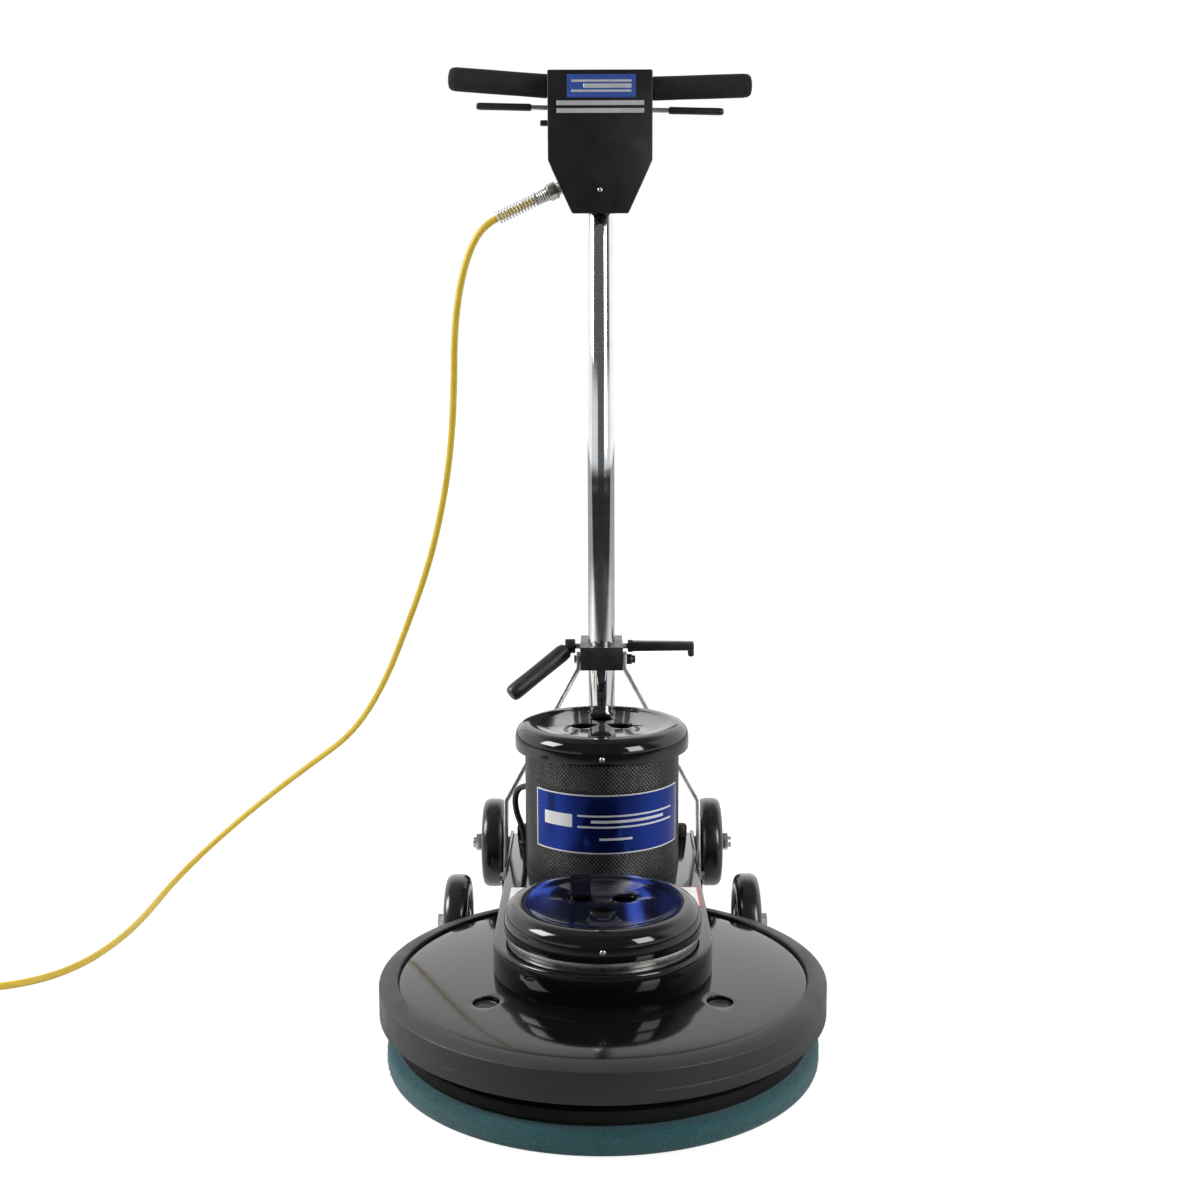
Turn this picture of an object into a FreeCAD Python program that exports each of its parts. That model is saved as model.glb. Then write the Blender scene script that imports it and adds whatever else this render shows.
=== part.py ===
import FreeCAD, Part
import math
import os
import re

import Sketcher

# Walk-behind high-speed floor burnisher. Millimetres, +Z up, the operator stands on the +Y side.
# Origin: centre of the pad's working face, where it meets the floor.

Vector = FreeCAD.Vector
doc = FreeCAD.newDocument("FloorBurnisher")
sheet = doc.addObject("Spreadsheet::Sheet", "Dims")

DIMENSIONS = {
    # pad and driver
    "pad_radius": 254, "pad_height": 29, "gripper_radius": 240, "gripper_height": 4,
    "driver_radius": 243, "driver_height": 13, "driver_hub_radius": 52, "driver_hub_height": 14,
    # deck and bumper
    "deck_radius": 238.5, "deck_edge_height": 98, "deck_top": 107.5, "deck_wall": 4, "deck_bottom": 66,
    "deck_bore_radius": 34, "plug_radius": 14.5, "plug_x": 129.5, "plug_y": -105,
    "bumper_radius": 261.2, "bumper_bottom": 61, "bumper_top": 96.5, "groove_height": 76,
    # belt housing
    "housing_radius": 128.4, "housing_top": 143.8, "housing_wall": 4, "housing_rear": 408,
    # round covers
    "cover_radius": 115.5, "cover_height": 33, "cover_wall": 3, "dish_radius": 91, "dish_height": 31,
    "cover_hole_radius": 15, "cover_hole_circle": 30, "ring_radius": 112.5, "ring_top": 152.5,
    # spindle and belt drive
    "spindle_radius": 12.5, "spindle_pulley_radius": 46, "motor_pulley_radius": 40,
    "pulley_bottom": 114, "pulley_height": 22, "belt_thickness": 4, "belt_gap": 0.3, "belt_height": 18,
    "bearing_radius": 31, "bearing_height": 15, "running_gap": 0.05,
    # motor
    "motor_y": 268, "motor_shaft_radius": 9.5, "rotor_radius": 52, "rotor_height": 90,
    "stator_radius": 92, "stator_bottom": 178, "stator_height": 94, "air_gap": 0.6,
    "case_radius": 97, "case_bottom": 150, "case_top": 302, "shroud_radius": 102.5,
    "shroud_wall": 1.5, "shroud_bottom": 144, "cap_bottom": 306, "fan_radius": 78,
    # rear frame and wheels
    "side_inner": 128.7, "side_wall": 4.8, "wheel_radius": 63.5, "wheel_width": 32, "rim_radius": 43,
    "axle_radius": 8, "axle_half": 188, "axle_y": 435, "axle_z": 121.3, "upper_wheel_x": 156.3,
    "lower_wheel_x": 194.5, "lower_wheel_y": 262, "lower_bolt_radius": 6,
    # handle tube and yoke
    "tube_radius": 19.05, "tube_wall": 1.8, "tube_bottom": 142, "tube_top": 1095,
    "yoke_radius": 15, "yoke_half": 112, "socket_radius": 24, "socket_height": 42,
    # clamp, struts, lock lever and cord hook
    "clamp_half": 30.5, "clamp_front": 405, "clamp_depth": 108, "clamp_bottom": 381.5,
    "clamp_height": 33, "clamp_bolt_y": 460, "clamp_bolt_z": 388, "lock_bolt_z": 407.5,
    "strut_foot_y": 362, "strut_foot_z": 92.4, "strut_inner": 134, "strut_wall": 5, "strut_width": 24,
    "strut_bend": 108, "strut_top_inner": 31.5, "strut_bolt_radius": 4, "eye_slot": 16,
    "lever_radius": 12.5, "lever_length": 108, "hook_start": 38, "hook_length": 96, "hook_height": 12,
    "hook_depth": 18,
    # handle head
    "plate_half": 70.4, "plate_top": 1199, "plate_corner": 1082, "plate_bottom": 1012,
    "plate_foot_half": 38, "plate_y": 390, "plate_wall": 2.5, "box_inset": 2.2, "box_bottom": 1024,
    "box_foot_half": 41,
    "box_depth": 78, "box_wall": 2, "bar_radius": 11, "grip_radius": 15.8, "grip_start": 71,
    "grip_end": 207, "bar_z": 1180.5, "bar_rise": 3, "bar_lean": 1.4,
    "trigger_z": 1156, "trigger_radius": 3.2, "trigger_half": 166, "sleeve_radius": 4.9,
    "sleeve_length": 72, "pivot_y": 458, "pivot_z": 1150, "button_z": 1137.5,
    # cord
    "cord_radius": 4.85, "gland_tilt": 25.1, "gland_x": -54.3, "gland_z": 1052, "gland_length": 97,
    "coil_x": -925, "coil_y": 61, "coil_outer": 118, "coil_inner": 56, "coil_height": 40,
}

for row, (alias, value) in enumerate(DIMENSIONS.items(), start=1):
    sheet.set(f"A{row}", alias)
    sheet.set(f"B{row}", str(value))
    sheet.setAlias(f"B{row}", alias)
doc.recompute()

SUBPARTS = []
ALONG_X = (Vector(0, 1, 0), 90)
ALONG_Y = (Vector(1, 0, 0), -90)
ALONG_Z = (Vector(0, 0, 1), 0)


def size(alias):
    """A driving dimension, read back from the sheet."""
    return float(sheet.get(alias))


def formula(text):
    """An expression in which the sheet's aliases may be written bare."""
    return re.sub(r"[a-z_]+", lambda word: ("Dims." if word[0] in DIMENSIONS else "") + word[0], str(text))


def bind(thing, **sizes):
    for name, text in sizes.items():
        thing.setExpression(name, formula(text))
    return thing


def place(thing, x=0, y=0, z=0, turn=ALONG_Z):
    thing.Placement = FreeCAD.Placement(Vector(), FreeCAD.Rotation(*turn))
    for axis, text in zip("xyz", (x, y, z)):
        thing.setExpression(f".Placement.Base.{axis}", formula(text))
    return thing


def rod(name, radius, length, x=0, y=0, z=0, turn=ALONG_Z):
    """A round bar that starts at the given point and runs along its turned Z axis."""
    thing = bind(doc.addObject("Part::Cylinder", name), Radius=radius, Height=length)
    return place(thing, x, y, z, turn)


def cone(name, start_radius, end_radius, length, x=0, y=0, z=0, turn=ALONG_Z):
    thing = doc.addObject("Part::Cone", name)
    bind(thing, Radius1=start_radius, Radius2=end_radius, Height=length)
    return place(thing, x, y, z, turn)


def block(name, length, width, height, x=0, y=0, z=0):
    thing = bind(doc.addObject("Part::Box", name), Length=length, Width=width, Height=height)
    return place(thing, x, y, z)


def hexagon(name, across, length, x=0, y=0, z=0, turn=ALONG_Z):
    thing = doc.addObject("Part::Prism", name)
    thing.Polygon = 6
    bind(thing, Circumradius=f"{across} / sqrt(3)", Height=length)
    return place(thing, x, y, z, turn)


def fuse(name, *pieces):
    thing = doc.addObject("Part::MultiFuse", name)
    thing.Shapes = list(pieces)
    return thing


def group(name, *pieces):
    thing = doc.addObject("Part::Compound", name)
    thing.Links = list(pieces)
    return thing


def cut(name, base, *tools):
    thing = doc.addObject("Part::Cut", name)
    thing.Base = base
    thing.Tool = tools[0] if len(tools) == 1 else fuse(name + "_tools", *tools)
    return thing


def ring(name, outer, inner, height, x=0, y=0, z=0, turn=ALONG_Z):
    """A round sleeve, washer or bearing."""
    thing = cut(name, rod(name + "_outer", outer, height), rod(name + "_bore", inner, height))
    return place(thing, x, y, z, turn)


def subpart(node, thing):
    thing.Label = node
    SUBPARTS.append(thing)
    return thing


def sketch_on(body, role, corners):
    """A closed outline on one of the body's origin planes, each corner held by two formulas."""
    plane = next(item for item in body.Origin.OriginFeatures if item.Role == role)
    sketch = body.newObject("Sketcher::SketchObject", body.Name + "_outline")
    sketch.AttachmentSupport = [(plane, "")]
    sketch.MapMode = "FlatFace"
    values = [tuple(evaluate(text) for text in corner) for corner in corners]
    count = len(values)
    for index, (u, v) in enumerate(values):
        end = values[(index + 1) % count]
        sketch.addGeometry(Part.LineSegment(Vector(u, v, 0), Vector(end[0], end[1], 0)), False)
    for index in range(count):
        sketch.addConstraint(Sketcher.Constraint("Coincident", index, 2, (index + 1) % count, 1))
    for index, corner in enumerate(corners):
        for kind, text, value in zip(("DistanceX", "DistanceY"), corner, values[index]):
            number = sketch.addConstraint(Sketcher.Constraint(kind, -1, 1, index, 1, value))
            sketch.setExpression(f"Constraints[{number}]", formula(text))
    return sketch


def evaluate(text):
    """The number that a formula gives now, used to draw an outline before it is solved."""
    return sheet.evalExpression(formula(text))


def turned(node, corners, axis="V_Axis", rounds=()):
    """A turned piece: an outline revolved about Z, or about X, with rounded rims."""
    body = doc.addObject("PartDesign::Body", node)
    sketch = sketch_on(body, "XZ_Plane", corners)
    turn = body.newObject("PartDesign::Revolution", node + "_turn")
    turn.Profile = sketch
    turn.ReferenceAxis = (sketch, [axis])
    turn.Angle = 360
    sketch.Visibility = False
    round_rims(body, turn, rounds)
    return body


def round_rims(body, feature, rounds):
    """Fillets on the rims that pass through the given points of the outline."""
    for number, (radius, u, v) in enumerate(rounds):
        doc.recompute()
        spot = Part.Vertex(Vector(evaluate(u), 0, evaluate(v)))
        rims = [f"Edge{index}" for index, edge in enumerate(feature.Shape.Edges, start=1)
                if edge.distToShape(spot)[0] < 0.01 and edge.Length > 20]
        fillet = body.newObject("PartDesign::Fillet", f"{body.Name}_round{number}")
        fillet.Base = (feature, rims)
        fillet.setExpression("Radius", formula(radius))
        body.Tip = fillet
        feature = fillet


def extruded(node, role, corners, depth, midplane=False, backwards=False):
    """A flat outline given a thickness."""
    body = doc.addObject("PartDesign::Body", node)
    pad = body.newObject("PartDesign::Pad", node + "_pad")
    pad.Profile = sketch_on(body, role, corners)
    pad.setExpression("Length", formula(depth))
    pad.Midplane = midplane
    pad.Reversed = backwards
    return body


def feature(name, shape):
    thing = doc.addObject("Part::Feature", name)
    thing.Shape = shape
    thing.Placement = FreeCAD.Placement()
    return thing


# ---------------------------------------------------------------- pad, driver and spindle


def floor_pad():
    """A 20 inch fibre pad; its centre knock-out is left in."""
    subpart("floor_pad", rod("floor_pad_disc", "pad_radius", "pad_height"))


def pad_gripper():
    """Layer of short barbs under the driver that the pad clings to."""
    subpart("pad_gripper", rod("gripper_disc", "gripper_radius", "gripper_height", z="pad_height"))


def pad_driver():
    """Flexible disc that carries the pad, with a raised hub for the spindle flange."""
    low = "pad_height + gripper_height"
    top = low + " + driver_height"
    subpart("pad_driver", turned("pad_driver_body", [
        (0, low),
        ("driver_radius", low),
        ("driver_radius", top),
        ("driver_hub_radius", top),
        ("driver_hub_radius", top + " + driver_hub_height"),
        (0, top + " + driver_hub_height"),
    ], rounds=[(4, "driver_radius", top)]))


def spindle():
    """Flanged shaft from the driver's hub up through both bearings."""
    base = "pad_height + gripper_height + driver_height + driver_hub_height"
    flange = rod("spindle_flange", 40, 8, z=base)
    shaft = rod("spindle_bar", "spindle_radius", "ring_top + 22 - (" + base + ")", z=base)
    subpart("spindle_shaft", fuse("spindle_solid", flange, shaft))


def pulley(node, radius, bore, y):
    """Flat-faced pulley for a ribbed belt, with a lip at each edge."""
    wheel = ring(node + "_wheel", radius, bore, "pulley_height", y=y, z="pulley_bottom")
    lower = ring(node + "_lower_lip", radius + " + 3.5", bore, 1.4, y=y, z="pulley_bottom")
    upper = ring(node + "_upper_lip", radius + " + 3.5", bore, 1.4, y=y,
                 z="pulley_bottom + pulley_height - 1.4")
    subpart(node, fuse(node + "_solid", wheel, lower, upper))


def belt():
    """Ribbed belt: the outline of both pulleys joined by their outer tangents."""
    gap = size("belt_gap")
    centres = (0.0, size("motor_y"))
    radii = (size("spindle_pulley_radius") + gap, size("motor_pulley_radius") + gap)
    bottom = size("pulley_bottom") + (size("pulley_height") - size("belt_height")) / 2
    outer = belt_outline(centres, [radius + size("belt_thickness") for radius in radii], bottom)
    inner = belt_outline(centres, radii, bottom)
    band = Part.Face(outer).cut(Part.Face(inner)).extrude(Vector(0, 0, size("belt_height")))
    subpart("drive_belt", feature("belt_band", band))


def belt_outline(centres, radii, z):
    lean = math.asin((radii[0] - radii[1]) / (centres[1] - centres[0]))
    across, along = math.cos(lean), math.sin(lean)
    front = [Vector(side * radii[0] * across, centres[0] + radii[0] * along, z) for side in (-1, 1)]
    rear = [Vector(side * radii[1] * across, centres[1] + radii[1] * along, z) for side in (-1, 1)]
    front_arc = Part.Arc(front[1], Vector(0, centres[0] - radii[0], z), front[0])
    rear_arc = Part.Arc(rear[0], Vector(0, centres[1] + radii[1], z), rear[1])
    edges = [front_arc, Part.LineSegment(front[0], rear[0]), rear_arc, Part.LineSegment(rear[1], front[1])]
    return Part.Wire([edge.toShape() for edge in edges])


def ball_bearings():
    """Two bearings for the spindle and two for the motor, with a running fit on their shafts."""
    pieces = []
    for name, z in (("lower_spindle", 86), ("upper_spindle", "housing_top + 3")):
        pieces.append(ring(f"{name}_bearing", "bearing_radius", "spindle_radius + running_gap",
                           "bearing_height", z=z))
    for name, z in (("lower_motor", "case_bottom - 6"), ("upper_motor", "case_top - 12")):
        pieces.append(ring(f"{name}_bearing", 20, "motor_shaft_radius + running_gap", 12, y="motor_y", z=z))
    subpart("ball_bearings", group("bearing_set", *pieces))


def bearing_housings():
    """Cast cups that hold the two spindle bearings, one under the deck and one on the belt housing."""
    under = rod("lower_cup", 45, "deck_top - deck_wall - 82.1", z=82)
    lower = cut("lower_cup_cut", under, rod("lower_cup_bore", "bearing_radius", 40, z=86),
                rod("lower_cup_hole", 16, 10, z=80))
    over = rod("upper_cup", 46, 22, z="housing_top")
    upper = cut("upper_cup_cut", over, rod("upper_cup_bore", "bearing_radius", 30, z="housing_top + 3"),
                rod("upper_cup_hole", 16, 10, z="housing_top - 3"))
    subpart("bearing_housings", group("bearing_housing_pair", lower, upper))


# ---------------------------------------------------------------- deck, bumper, housing, covers


def deck():
    """Spun shallow dome with a skirt, a spindle bore and two plugged access holes."""
    inner = "deck_radius - deck_wall"
    dome = turned("deck_dome", [
        ("deck_bore_radius", "deck_top"),
        ("housing_radius + 12", "deck_top - 0.6"),
        ("housing_radius + 60", "deck_top - 3.6"),
        ("deck_radius", "deck_edge_height"),
        ("deck_radius", "deck_bottom"),
        (inner, "deck_bottom"),
        (inner, "deck_edge_height - deck_wall"),
        ("housing_radius + 60", "deck_top - 3.6 - deck_wall"),
        ("housing_radius + 12", "deck_top - 0.6 - deck_wall"),
        ("deck_bore_radius", "deck_top - deck_wall"),
    ])
    holes = [rod(f"deck_hole_{side}", "plug_radius + 0.5", 40, f"{side} * plug_x", "plug_y", 80)
             for side in (-1, 1)]
    subpart("deck", cut("deck_solid", dome, *holes))


def deck_plugs():
    """Round press-in plugs that sit a little below the deck's surface."""
    plugs = [rod(f"plug_{side}", "plug_radius", 5, f"{side} * plug_x", "plug_y", "deck_top - 10.5")
             for side in (-1, 1)]
    subpart("deck_plugs", group("deck_plug_pair", *plugs))


def bumper():
    """Moulded rubber ring round the deck's skirt, with a shallow groove at mid height."""
    inner = "deck_radius"
    subpart("bumper", turned("bumper_ring", [
        (inner, "bumper_bottom + 5"),
        (inner + " + 6", "bumper_bottom"),
        ("bumper_radius", "bumper_bottom"),
        ("bumper_radius", "groove_height - 2.5"),
        ("bumper_radius - 1.6", "groove_height"),
        ("bumper_radius", "groove_height + 2.5"),
        ("bumper_radius", "bumper_top"),
        (inner, "bumper_top + 4.5"),
    ], rounds=[(2.5, "bumper_radius", "bumper_bottom"), (4, "bumper_radius", "bumper_top")]))


def belt_housing():
    """Pressed steel box, round at the front and straight to the rear, open below."""
    height = "housing_top - deck_top"
    inside = "housing_radius - housing_wall"
    nose = rod("housing_nose", "housing_radius", height, z="deck_top")
    tail = block("housing_tail", "2 * housing_radius", "housing_rear", height, "-housing_radius", 0,
                 "deck_top")
    hollow_nose = rod("housing_hollow_nose", inside, height + " - housing_wall", z="deck_top")
    hollow_tail = block("housing_hollow_tail", f"2 * ({inside})", "housing_rear - housing_wall",
                        height + " - housing_wall", f"-({inside})", 0, "deck_top")
    spindle_hole = rod("housing_spindle_hole", 18, 12, z="housing_top - 8")
    shaft_hole = rod("housing_shaft_hole", 18, 12, y="motor_y", z="housing_top - 8")
    subpart("belt_housing", cut("housing_solid", fuse("housing_block", nose, tail), hollow_nose, hollow_tail,
                                spindle_hole, shaft_hole))


def round_cover(node, x, y, z, first_hole):
    """Pressed cap with a rolled shoulder, a dished top and three finger holes."""
    wall = "cover_wall"
    rim = "cover_radius"
    shell = turned(node + "_shell", [
        (0, "dish_height"),
        ("dish_radius", "dish_height"),
        ("dish_radius + 5", "cover_height"),
        ("cover_radius - 14", "cover_height"),
        ("cover_radius - 4", "cover_height - 7"),
        (rim, "cover_height - 17"),
        (rim, 0),
        (f"{rim} - {wall}", 0),
        (f"{rim} - {wall}", "cover_height - 17"),
        (f"{rim} - 4 - {wall}", "cover_height - 9"),
        (f"{rim} - 16", "cover_height - cover_wall"),
        ("dish_radius + 4", "cover_height - cover_wall"),
        ("dish_radius", "dish_height - cover_wall"),
        (0, "dish_height - cover_wall"),
    ])
    holes = []
    for number in range(3):
        angle = math.radians(first_hole + 120 * number)
        hole = rod(f"{node}_hole{number}", "cover_hole_radius", 20,
                   f"cover_hole_circle * {math.cos(angle):.6f}", f"cover_hole_circle * {math.sin(angle):.6f}",
                   "dish_height - 12")
        holes.append(hole)
    subpart(node, place(cut(node + "_solid", shell, *holes), x, y, z))


def cover_ring():
    """Low ring that lifts the spindle cover off the belt housing."""
    subpart("cover_ring", ring("cover_ring_band", "ring_radius", "ring_radius - 3", "ring_top - housing_top",
                               z="housing_top"))


def cover_screws():
    """One round-head screw in the front face of each cover."""
    screws = []
    for name, y, z in (("spindle", 0, "ring_top + 13"), ("motor", "motor_y", "cap_bottom + 9")):
        head = rod(f"{name}_cover_screw", 3.6, 2.2, 0, f"{y} - cover_radius - 2.2", z, ALONG_Y)
        screws.append(head)
    subpart("cover_screws", group("cover_screw_pair", *screws))


# ---------------------------------------------------------------- motor


def motor_case():
    """Bright drawn steel barrel round the stator."""
    subpart("motor_case", ring("motor_barrel", "case_radius", "stator_radius", "case_top - case_bottom",
                               y="motor_y", z="case_bottom"))


def motor_shroud():
    """Perforated sheet sleeve that stands off the motor case."""
    subpart("motor_shroud", ring("shroud_sleeve", "shroud_radius", "shroud_radius - shroud_wall",
                                 "cap_bottom + 4 - shroud_bottom", y="motor_y", z="shroud_bottom"))


def motor_stator():
    """Laminated ring, pressed into the case."""
    subpart("motor_stator", ring("stator_stack", "stator_radius", "rotor_radius + air_gap", "stator_height",
                                 y="motor_y", z="stator_bottom"))


def motor_windings():
    """Copper end turns at both ends of the stator."""
    lower = ring("lower_windings", 84, 58, 12, y="motor_y", z="stator_bottom - 12")
    upper = ring("upper_windings", 84, 58, 12, y="motor_y", z="stator_bottom + stator_height")
    subpart("motor_windings", group("winding_pair", lower, upper))


def motor_end_plates():
    """Cast plates that close the case and hold the motor bearings."""
    plates = []
    for name, z in (("lower", "case_bottom - 6"), ("upper", "case_top - 12")):
        disc = rod(f"{name}_plate_disc", "stator_radius", 12, y="motor_y", z=z)
        bore = rod(f"{name}_plate_bore", 20, 30, y="motor_y", z=f"{z} - 5")
        plates.append(cut(f"{name}_plate", disc, bore))
    subpart("motor_end_plates", group("end_plate_pair", *plates))


def motor_shaft():
    subpart("motor_shaft", rod("motor_bar", "motor_shaft_radius", "cap_bottom + 14 - (pulley_bottom - 2)",
                               y="motor_y", z="pulley_bottom - 2"))


def motor_rotor():
    """Squirrel-cage core on the motor shaft."""
    subpart("motor_rotor", ring("rotor_core", "rotor_radius", "motor_shaft_radius", "rotor_height",
                                y="motor_y", z="stator_bottom + 2"))


def motor_fan():
    """Cooling fan under the cap: a hub, a disc and eight straight blades."""
    hub = ring("fan_hub", 16, "motor_shaft_radius", 14, z=0)
    disc = ring("fan_disc", "fan_radius", 15, 2.5, z=0)
    blades = []
    for number in range(8):
        blade = block(f"fan_blade{number}", "fan_radius - 20", 2.5, 12)
        corner = FreeCAD.Rotation(Vector(0, 0, 1), 45 * number).multVec(Vector(18, -1.25, 2))
        place(blade, corner.x, corner.y, corner.z, (Vector(0, 0, 1), 45 * number))
        blades.append(blade)
    fan = fuse("fan_solid", hub, disc, *blades)
    subpart("motor_fan", place(fan, 0, "motor_y", "case_top + 3"))


# ---------------------------------------------------------------- rear frame and wheels


def side_plate(side):
    """Steel plate outside the belt housing: it carries the axle, a strut pivot and a lower wheel."""
    name = "left" if side < 0 else "right"
    outline = [
        ("lower_wheel_y - 14", 50),
        ("lower_wheel_y + 16", 50),
        ("strut_foot_y + 14", "strut_foot_z - 16"),
        ("axle_y + 16", "axle_z - 12"),
        ("axle_y + 16", "axle_z + 12"),
        ("axle_y + 4", "axle_z + 16"),
        (300, 130),
        (236, 130),
        (236, 112),
        ("lower_wheel_y - 14", 104),
    ]
    plate = extruded(f"{name}_side", "YZ_Plane", outline, "side_wall")
    place(plate, "side_inner" if side > 0 else "-side_inner - side_wall")
    holes = [
        rod(f"{name}_axle_hole", "axle_radius", 20, f"{side} * 131 - 10", "axle_y", "axle_z", ALONG_X),
        rod(f"{name}_strut_hole", "strut_bolt_radius", 20, f"{side} * 131 - 10", "strut_foot_y",
            "strut_foot_z", ALONG_X),
        rod(f"{name}_wheel_hole", "lower_bolt_radius", 20, f"{side} * 131 - 10", "lower_wheel_y",
            "wheel_radius", ALONG_X),
    ]
    subpart(f"{name}_side_plate", cut(f"{name}_side_solid", plate, *holes))


def rear_axle():
    """Round bar through both side plates; the upper wheels and the handle yoke turn on it."""
    subpart("rear_axle", rod("axle_bar", "axle_radius", "2 * axle_half", "-axle_half", "axle_y", "axle_z",
                             ALONG_X))


def axle_nuts():
    """Zinc nuts and washers at both ends of the rear axle."""
    pieces = []
    for side, name in ((-1, "left"), (1, "right")):
        nut = cut(f"{name}_nut", hexagon(f"{name}_nut_hex", 22, 8), rod(f"{name}_nut_bore", "axle_radius", 8))
        washer = ring(f"{name}_nut_washer", 14, "axle_radius", 2)
        place(nut, f"{side} * (upper_wheel_x + wheel_width / 2 + 7) - 4", "axle_y", "axle_z", ALONG_X)
        place(washer, f"{side} * (upper_wheel_x + wheel_width / 2 + 2) - 1", "axle_y", "axle_z", ALONG_X)
        pieces += [nut, washer]
    return pieces


def lower_wheel_bolts():
    """Shoulder bolts that carry the lower wheels: spacer tube inside, washer and nut outside."""
    pieces = []
    for side, name in ((-1, "left"), (1, "right")):
        start = "side_inner - 7"
        end = "lower_wheel_x + wheel_width / 2 + 12"
        bolt = rod(f"{name}_wheel_bolt", "lower_bolt_radius", f"{end} - ({start})", 0, 0, start)
        head = hexagon(f"{name}_wheel_bolt_head", 19, 6, 0, 0, "side_inner - 7")
        spacer = rod(f"{name}_wheel_spacer", 9,
                     "lower_wheel_x - wheel_width / 2 - 2 - (side_inner + side_wall)",
                     0, 0, "side_inner + side_wall")
        nut = hexagon(f"{name}_wheel_nut", 19, 8, 0, 0, "lower_wheel_x + wheel_width / 2 + 3.5")
        washer = rod(f"{name}_wheel_washer", 12, 2, 0, 0, "lower_wheel_x + wheel_width / 2 + 1.5")
        turn = ALONG_X if side > 0 else (Vector(0, 1, 0), -90)
        whole = fuse(f"{name}_wheel_bolt_set", bolt, head, spacer, nut, washer)
        pieces.append(place(whole, 0, "lower_wheel_y", "wheel_radius", turn))
    return pieces


def wheel(node, bore, x, y, z):
    """Rubber tyre on a moulded hub with a thinner web."""
    half = "wheel_width / 2"
    tyre = turned(node + "_tyre_body", [
        (f"-{half}", "rim_radius"),
        (f"-{half}", "wheel_radius - 7"),
        (f"-{half} + 5", "wheel_radius"),
        (f"{half} - 5", "wheel_radius"),
        (half, "wheel_radius - 7"),
        (half, "rim_radius"),
    ], axis="H_Axis")
    hub = turned(node + "_hub_body", [
        (f"-{half}", bore),
        (f"-{half}", 17),
        ("-6", 20),
        ("-6", "rim_radius - 5"),
        (f"-{half} + 2", "rim_radius - 3"),
        (f"-{half} + 2", "rim_radius"),
        (f"{half} - 2", "rim_radius"),
        (f"{half} - 2", "rim_radius - 3"),
        ("6", "rim_radius - 5"),
        ("6", 20),
        (half, 17),
        (half, bore),
    ], axis="H_Axis")
    subpart(node + "_wheel", place(group(node + "_wheel_pair", tyre, hub), x, y, z))


def stop_posts():
    """Two black rubber stops on studs at the rear of the belt housing."""
    posts = []
    for side in (-1, 1):
        posts.append(rod(f"stop_post{side}", 8, 19, f"{side} * 113", 388, "housing_top"))
    subpart("stop_posts", group("stop_post_pair", *posts))


def motor_lead():
    """Black supply lead: a loop out of the shroud's side and down into the belt housing."""
    route = [Vector(-92.5, 320, 236), Vector(-111, 339, 233), Vector(-122, 352, 216), Vector(-121, 358, 190),
             Vector(-112, 359, 166), Vector(-109, 359, 145.5)]
    subpart("motor_lead", feature("motor_lead_tube", tube_along(route, 4.2)))


# ---------------------------------------------------------------- handle, struts and clamp


def handle_yoke():
    """Cross tube that swings on the rear axle, with a socket for the handle tube."""
    sleeve = rod("yoke_sleeve", "yoke_radius", "2 * yoke_half", "-yoke_half", "axle_y", "axle_z", ALONG_X)
    socket = rod("yoke_socket", "socket_radius", "socket_height", 0, "axle_y", "axle_z + 6")
    bore = rod("yoke_bore", "axle_radius + running_gap", "2 * yoke_half + 20", "-yoke_half - 10", "axle_y",
               "axle_z", ALONG_X)
    tube_hole = rod("yoke_tube_hole", "tube_radius", 100, 0, "axle_y", "tube_bottom")
    subpart("handle_yoke", cut("yoke_solid", fuse("yoke_block", sleeve, socket), bore, tube_hole))


def handle_tube():
    """Chrome plated steel tube."""
    subpart("handle_tube", ring("handle_tube_solid", "tube_radius", "tube_radius - tube_wall",
                                "tube_top - tube_bottom", 0, "axle_y", "tube_bottom"))


def clamp_block():
    """Block that slides on the handle tube and is locked by the lever's bolt."""
    body = block("clamp_body", "2 * clamp_half", "clamp_depth", "clamp_height", "-clamp_half", "clamp_front",
                 "clamp_bottom")
    bore = rod("clamp_bore", "tube_radius + running_gap", "clamp_height + 10", 0, "axle_y",
               "clamp_bottom - 5")
    slit = block("clamp_slit", 3, "clamp_depth", "clamp_height + 10", -1.5, "axle_y", "clamp_bottom - 5")
    bolts = [rod(f"clamp_hole{number}", "strut_bolt_radius", 100, -50, "clamp_bolt_y", z, ALONG_X)
             for number, z in enumerate(("clamp_bolt_z", "lock_bolt_z"))]
    subpart("clamp_block", cut("clamp_solid", body, bore, slit, *bolts))


def clamp_bolts():
    """The strut bolt with its black ribbed nut, and above it the lock bolt that the lever tightens."""
    shank = rod("clamp_bolt_shank", "strut_bolt_radius", 82, -38, "clamp_bolt_y", "clamp_bolt_z", ALONG_X)
    head = hexagon("clamp_bolt_head", 11, 3, -40, "clamp_bolt_y", "clamp_bolt_z", ALONG_X)
    nut = rod("clamp_nut_large", 7.5, 6, 38, "clamp_bolt_y", "clamp_bolt_z", ALONG_X)
    tip = rod("clamp_nut_small", 5.5, 4, 44, "clamp_bolt_y", "clamp_bolt_z", ALONG_X)
    strut_bolt = fuse("strut_bolt", shank, head, nut, tip)
    lock = rod("lock_bolt_shank", "strut_bolt_radius", "2 * (hook_start + 8)", "-hook_start - 8",
               "clamp_bolt_y", "lock_bolt_z", ALONG_X)
    subpart("clamp_bolts", group("clamp_bolt_pair", strut_bolt, lock))


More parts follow.
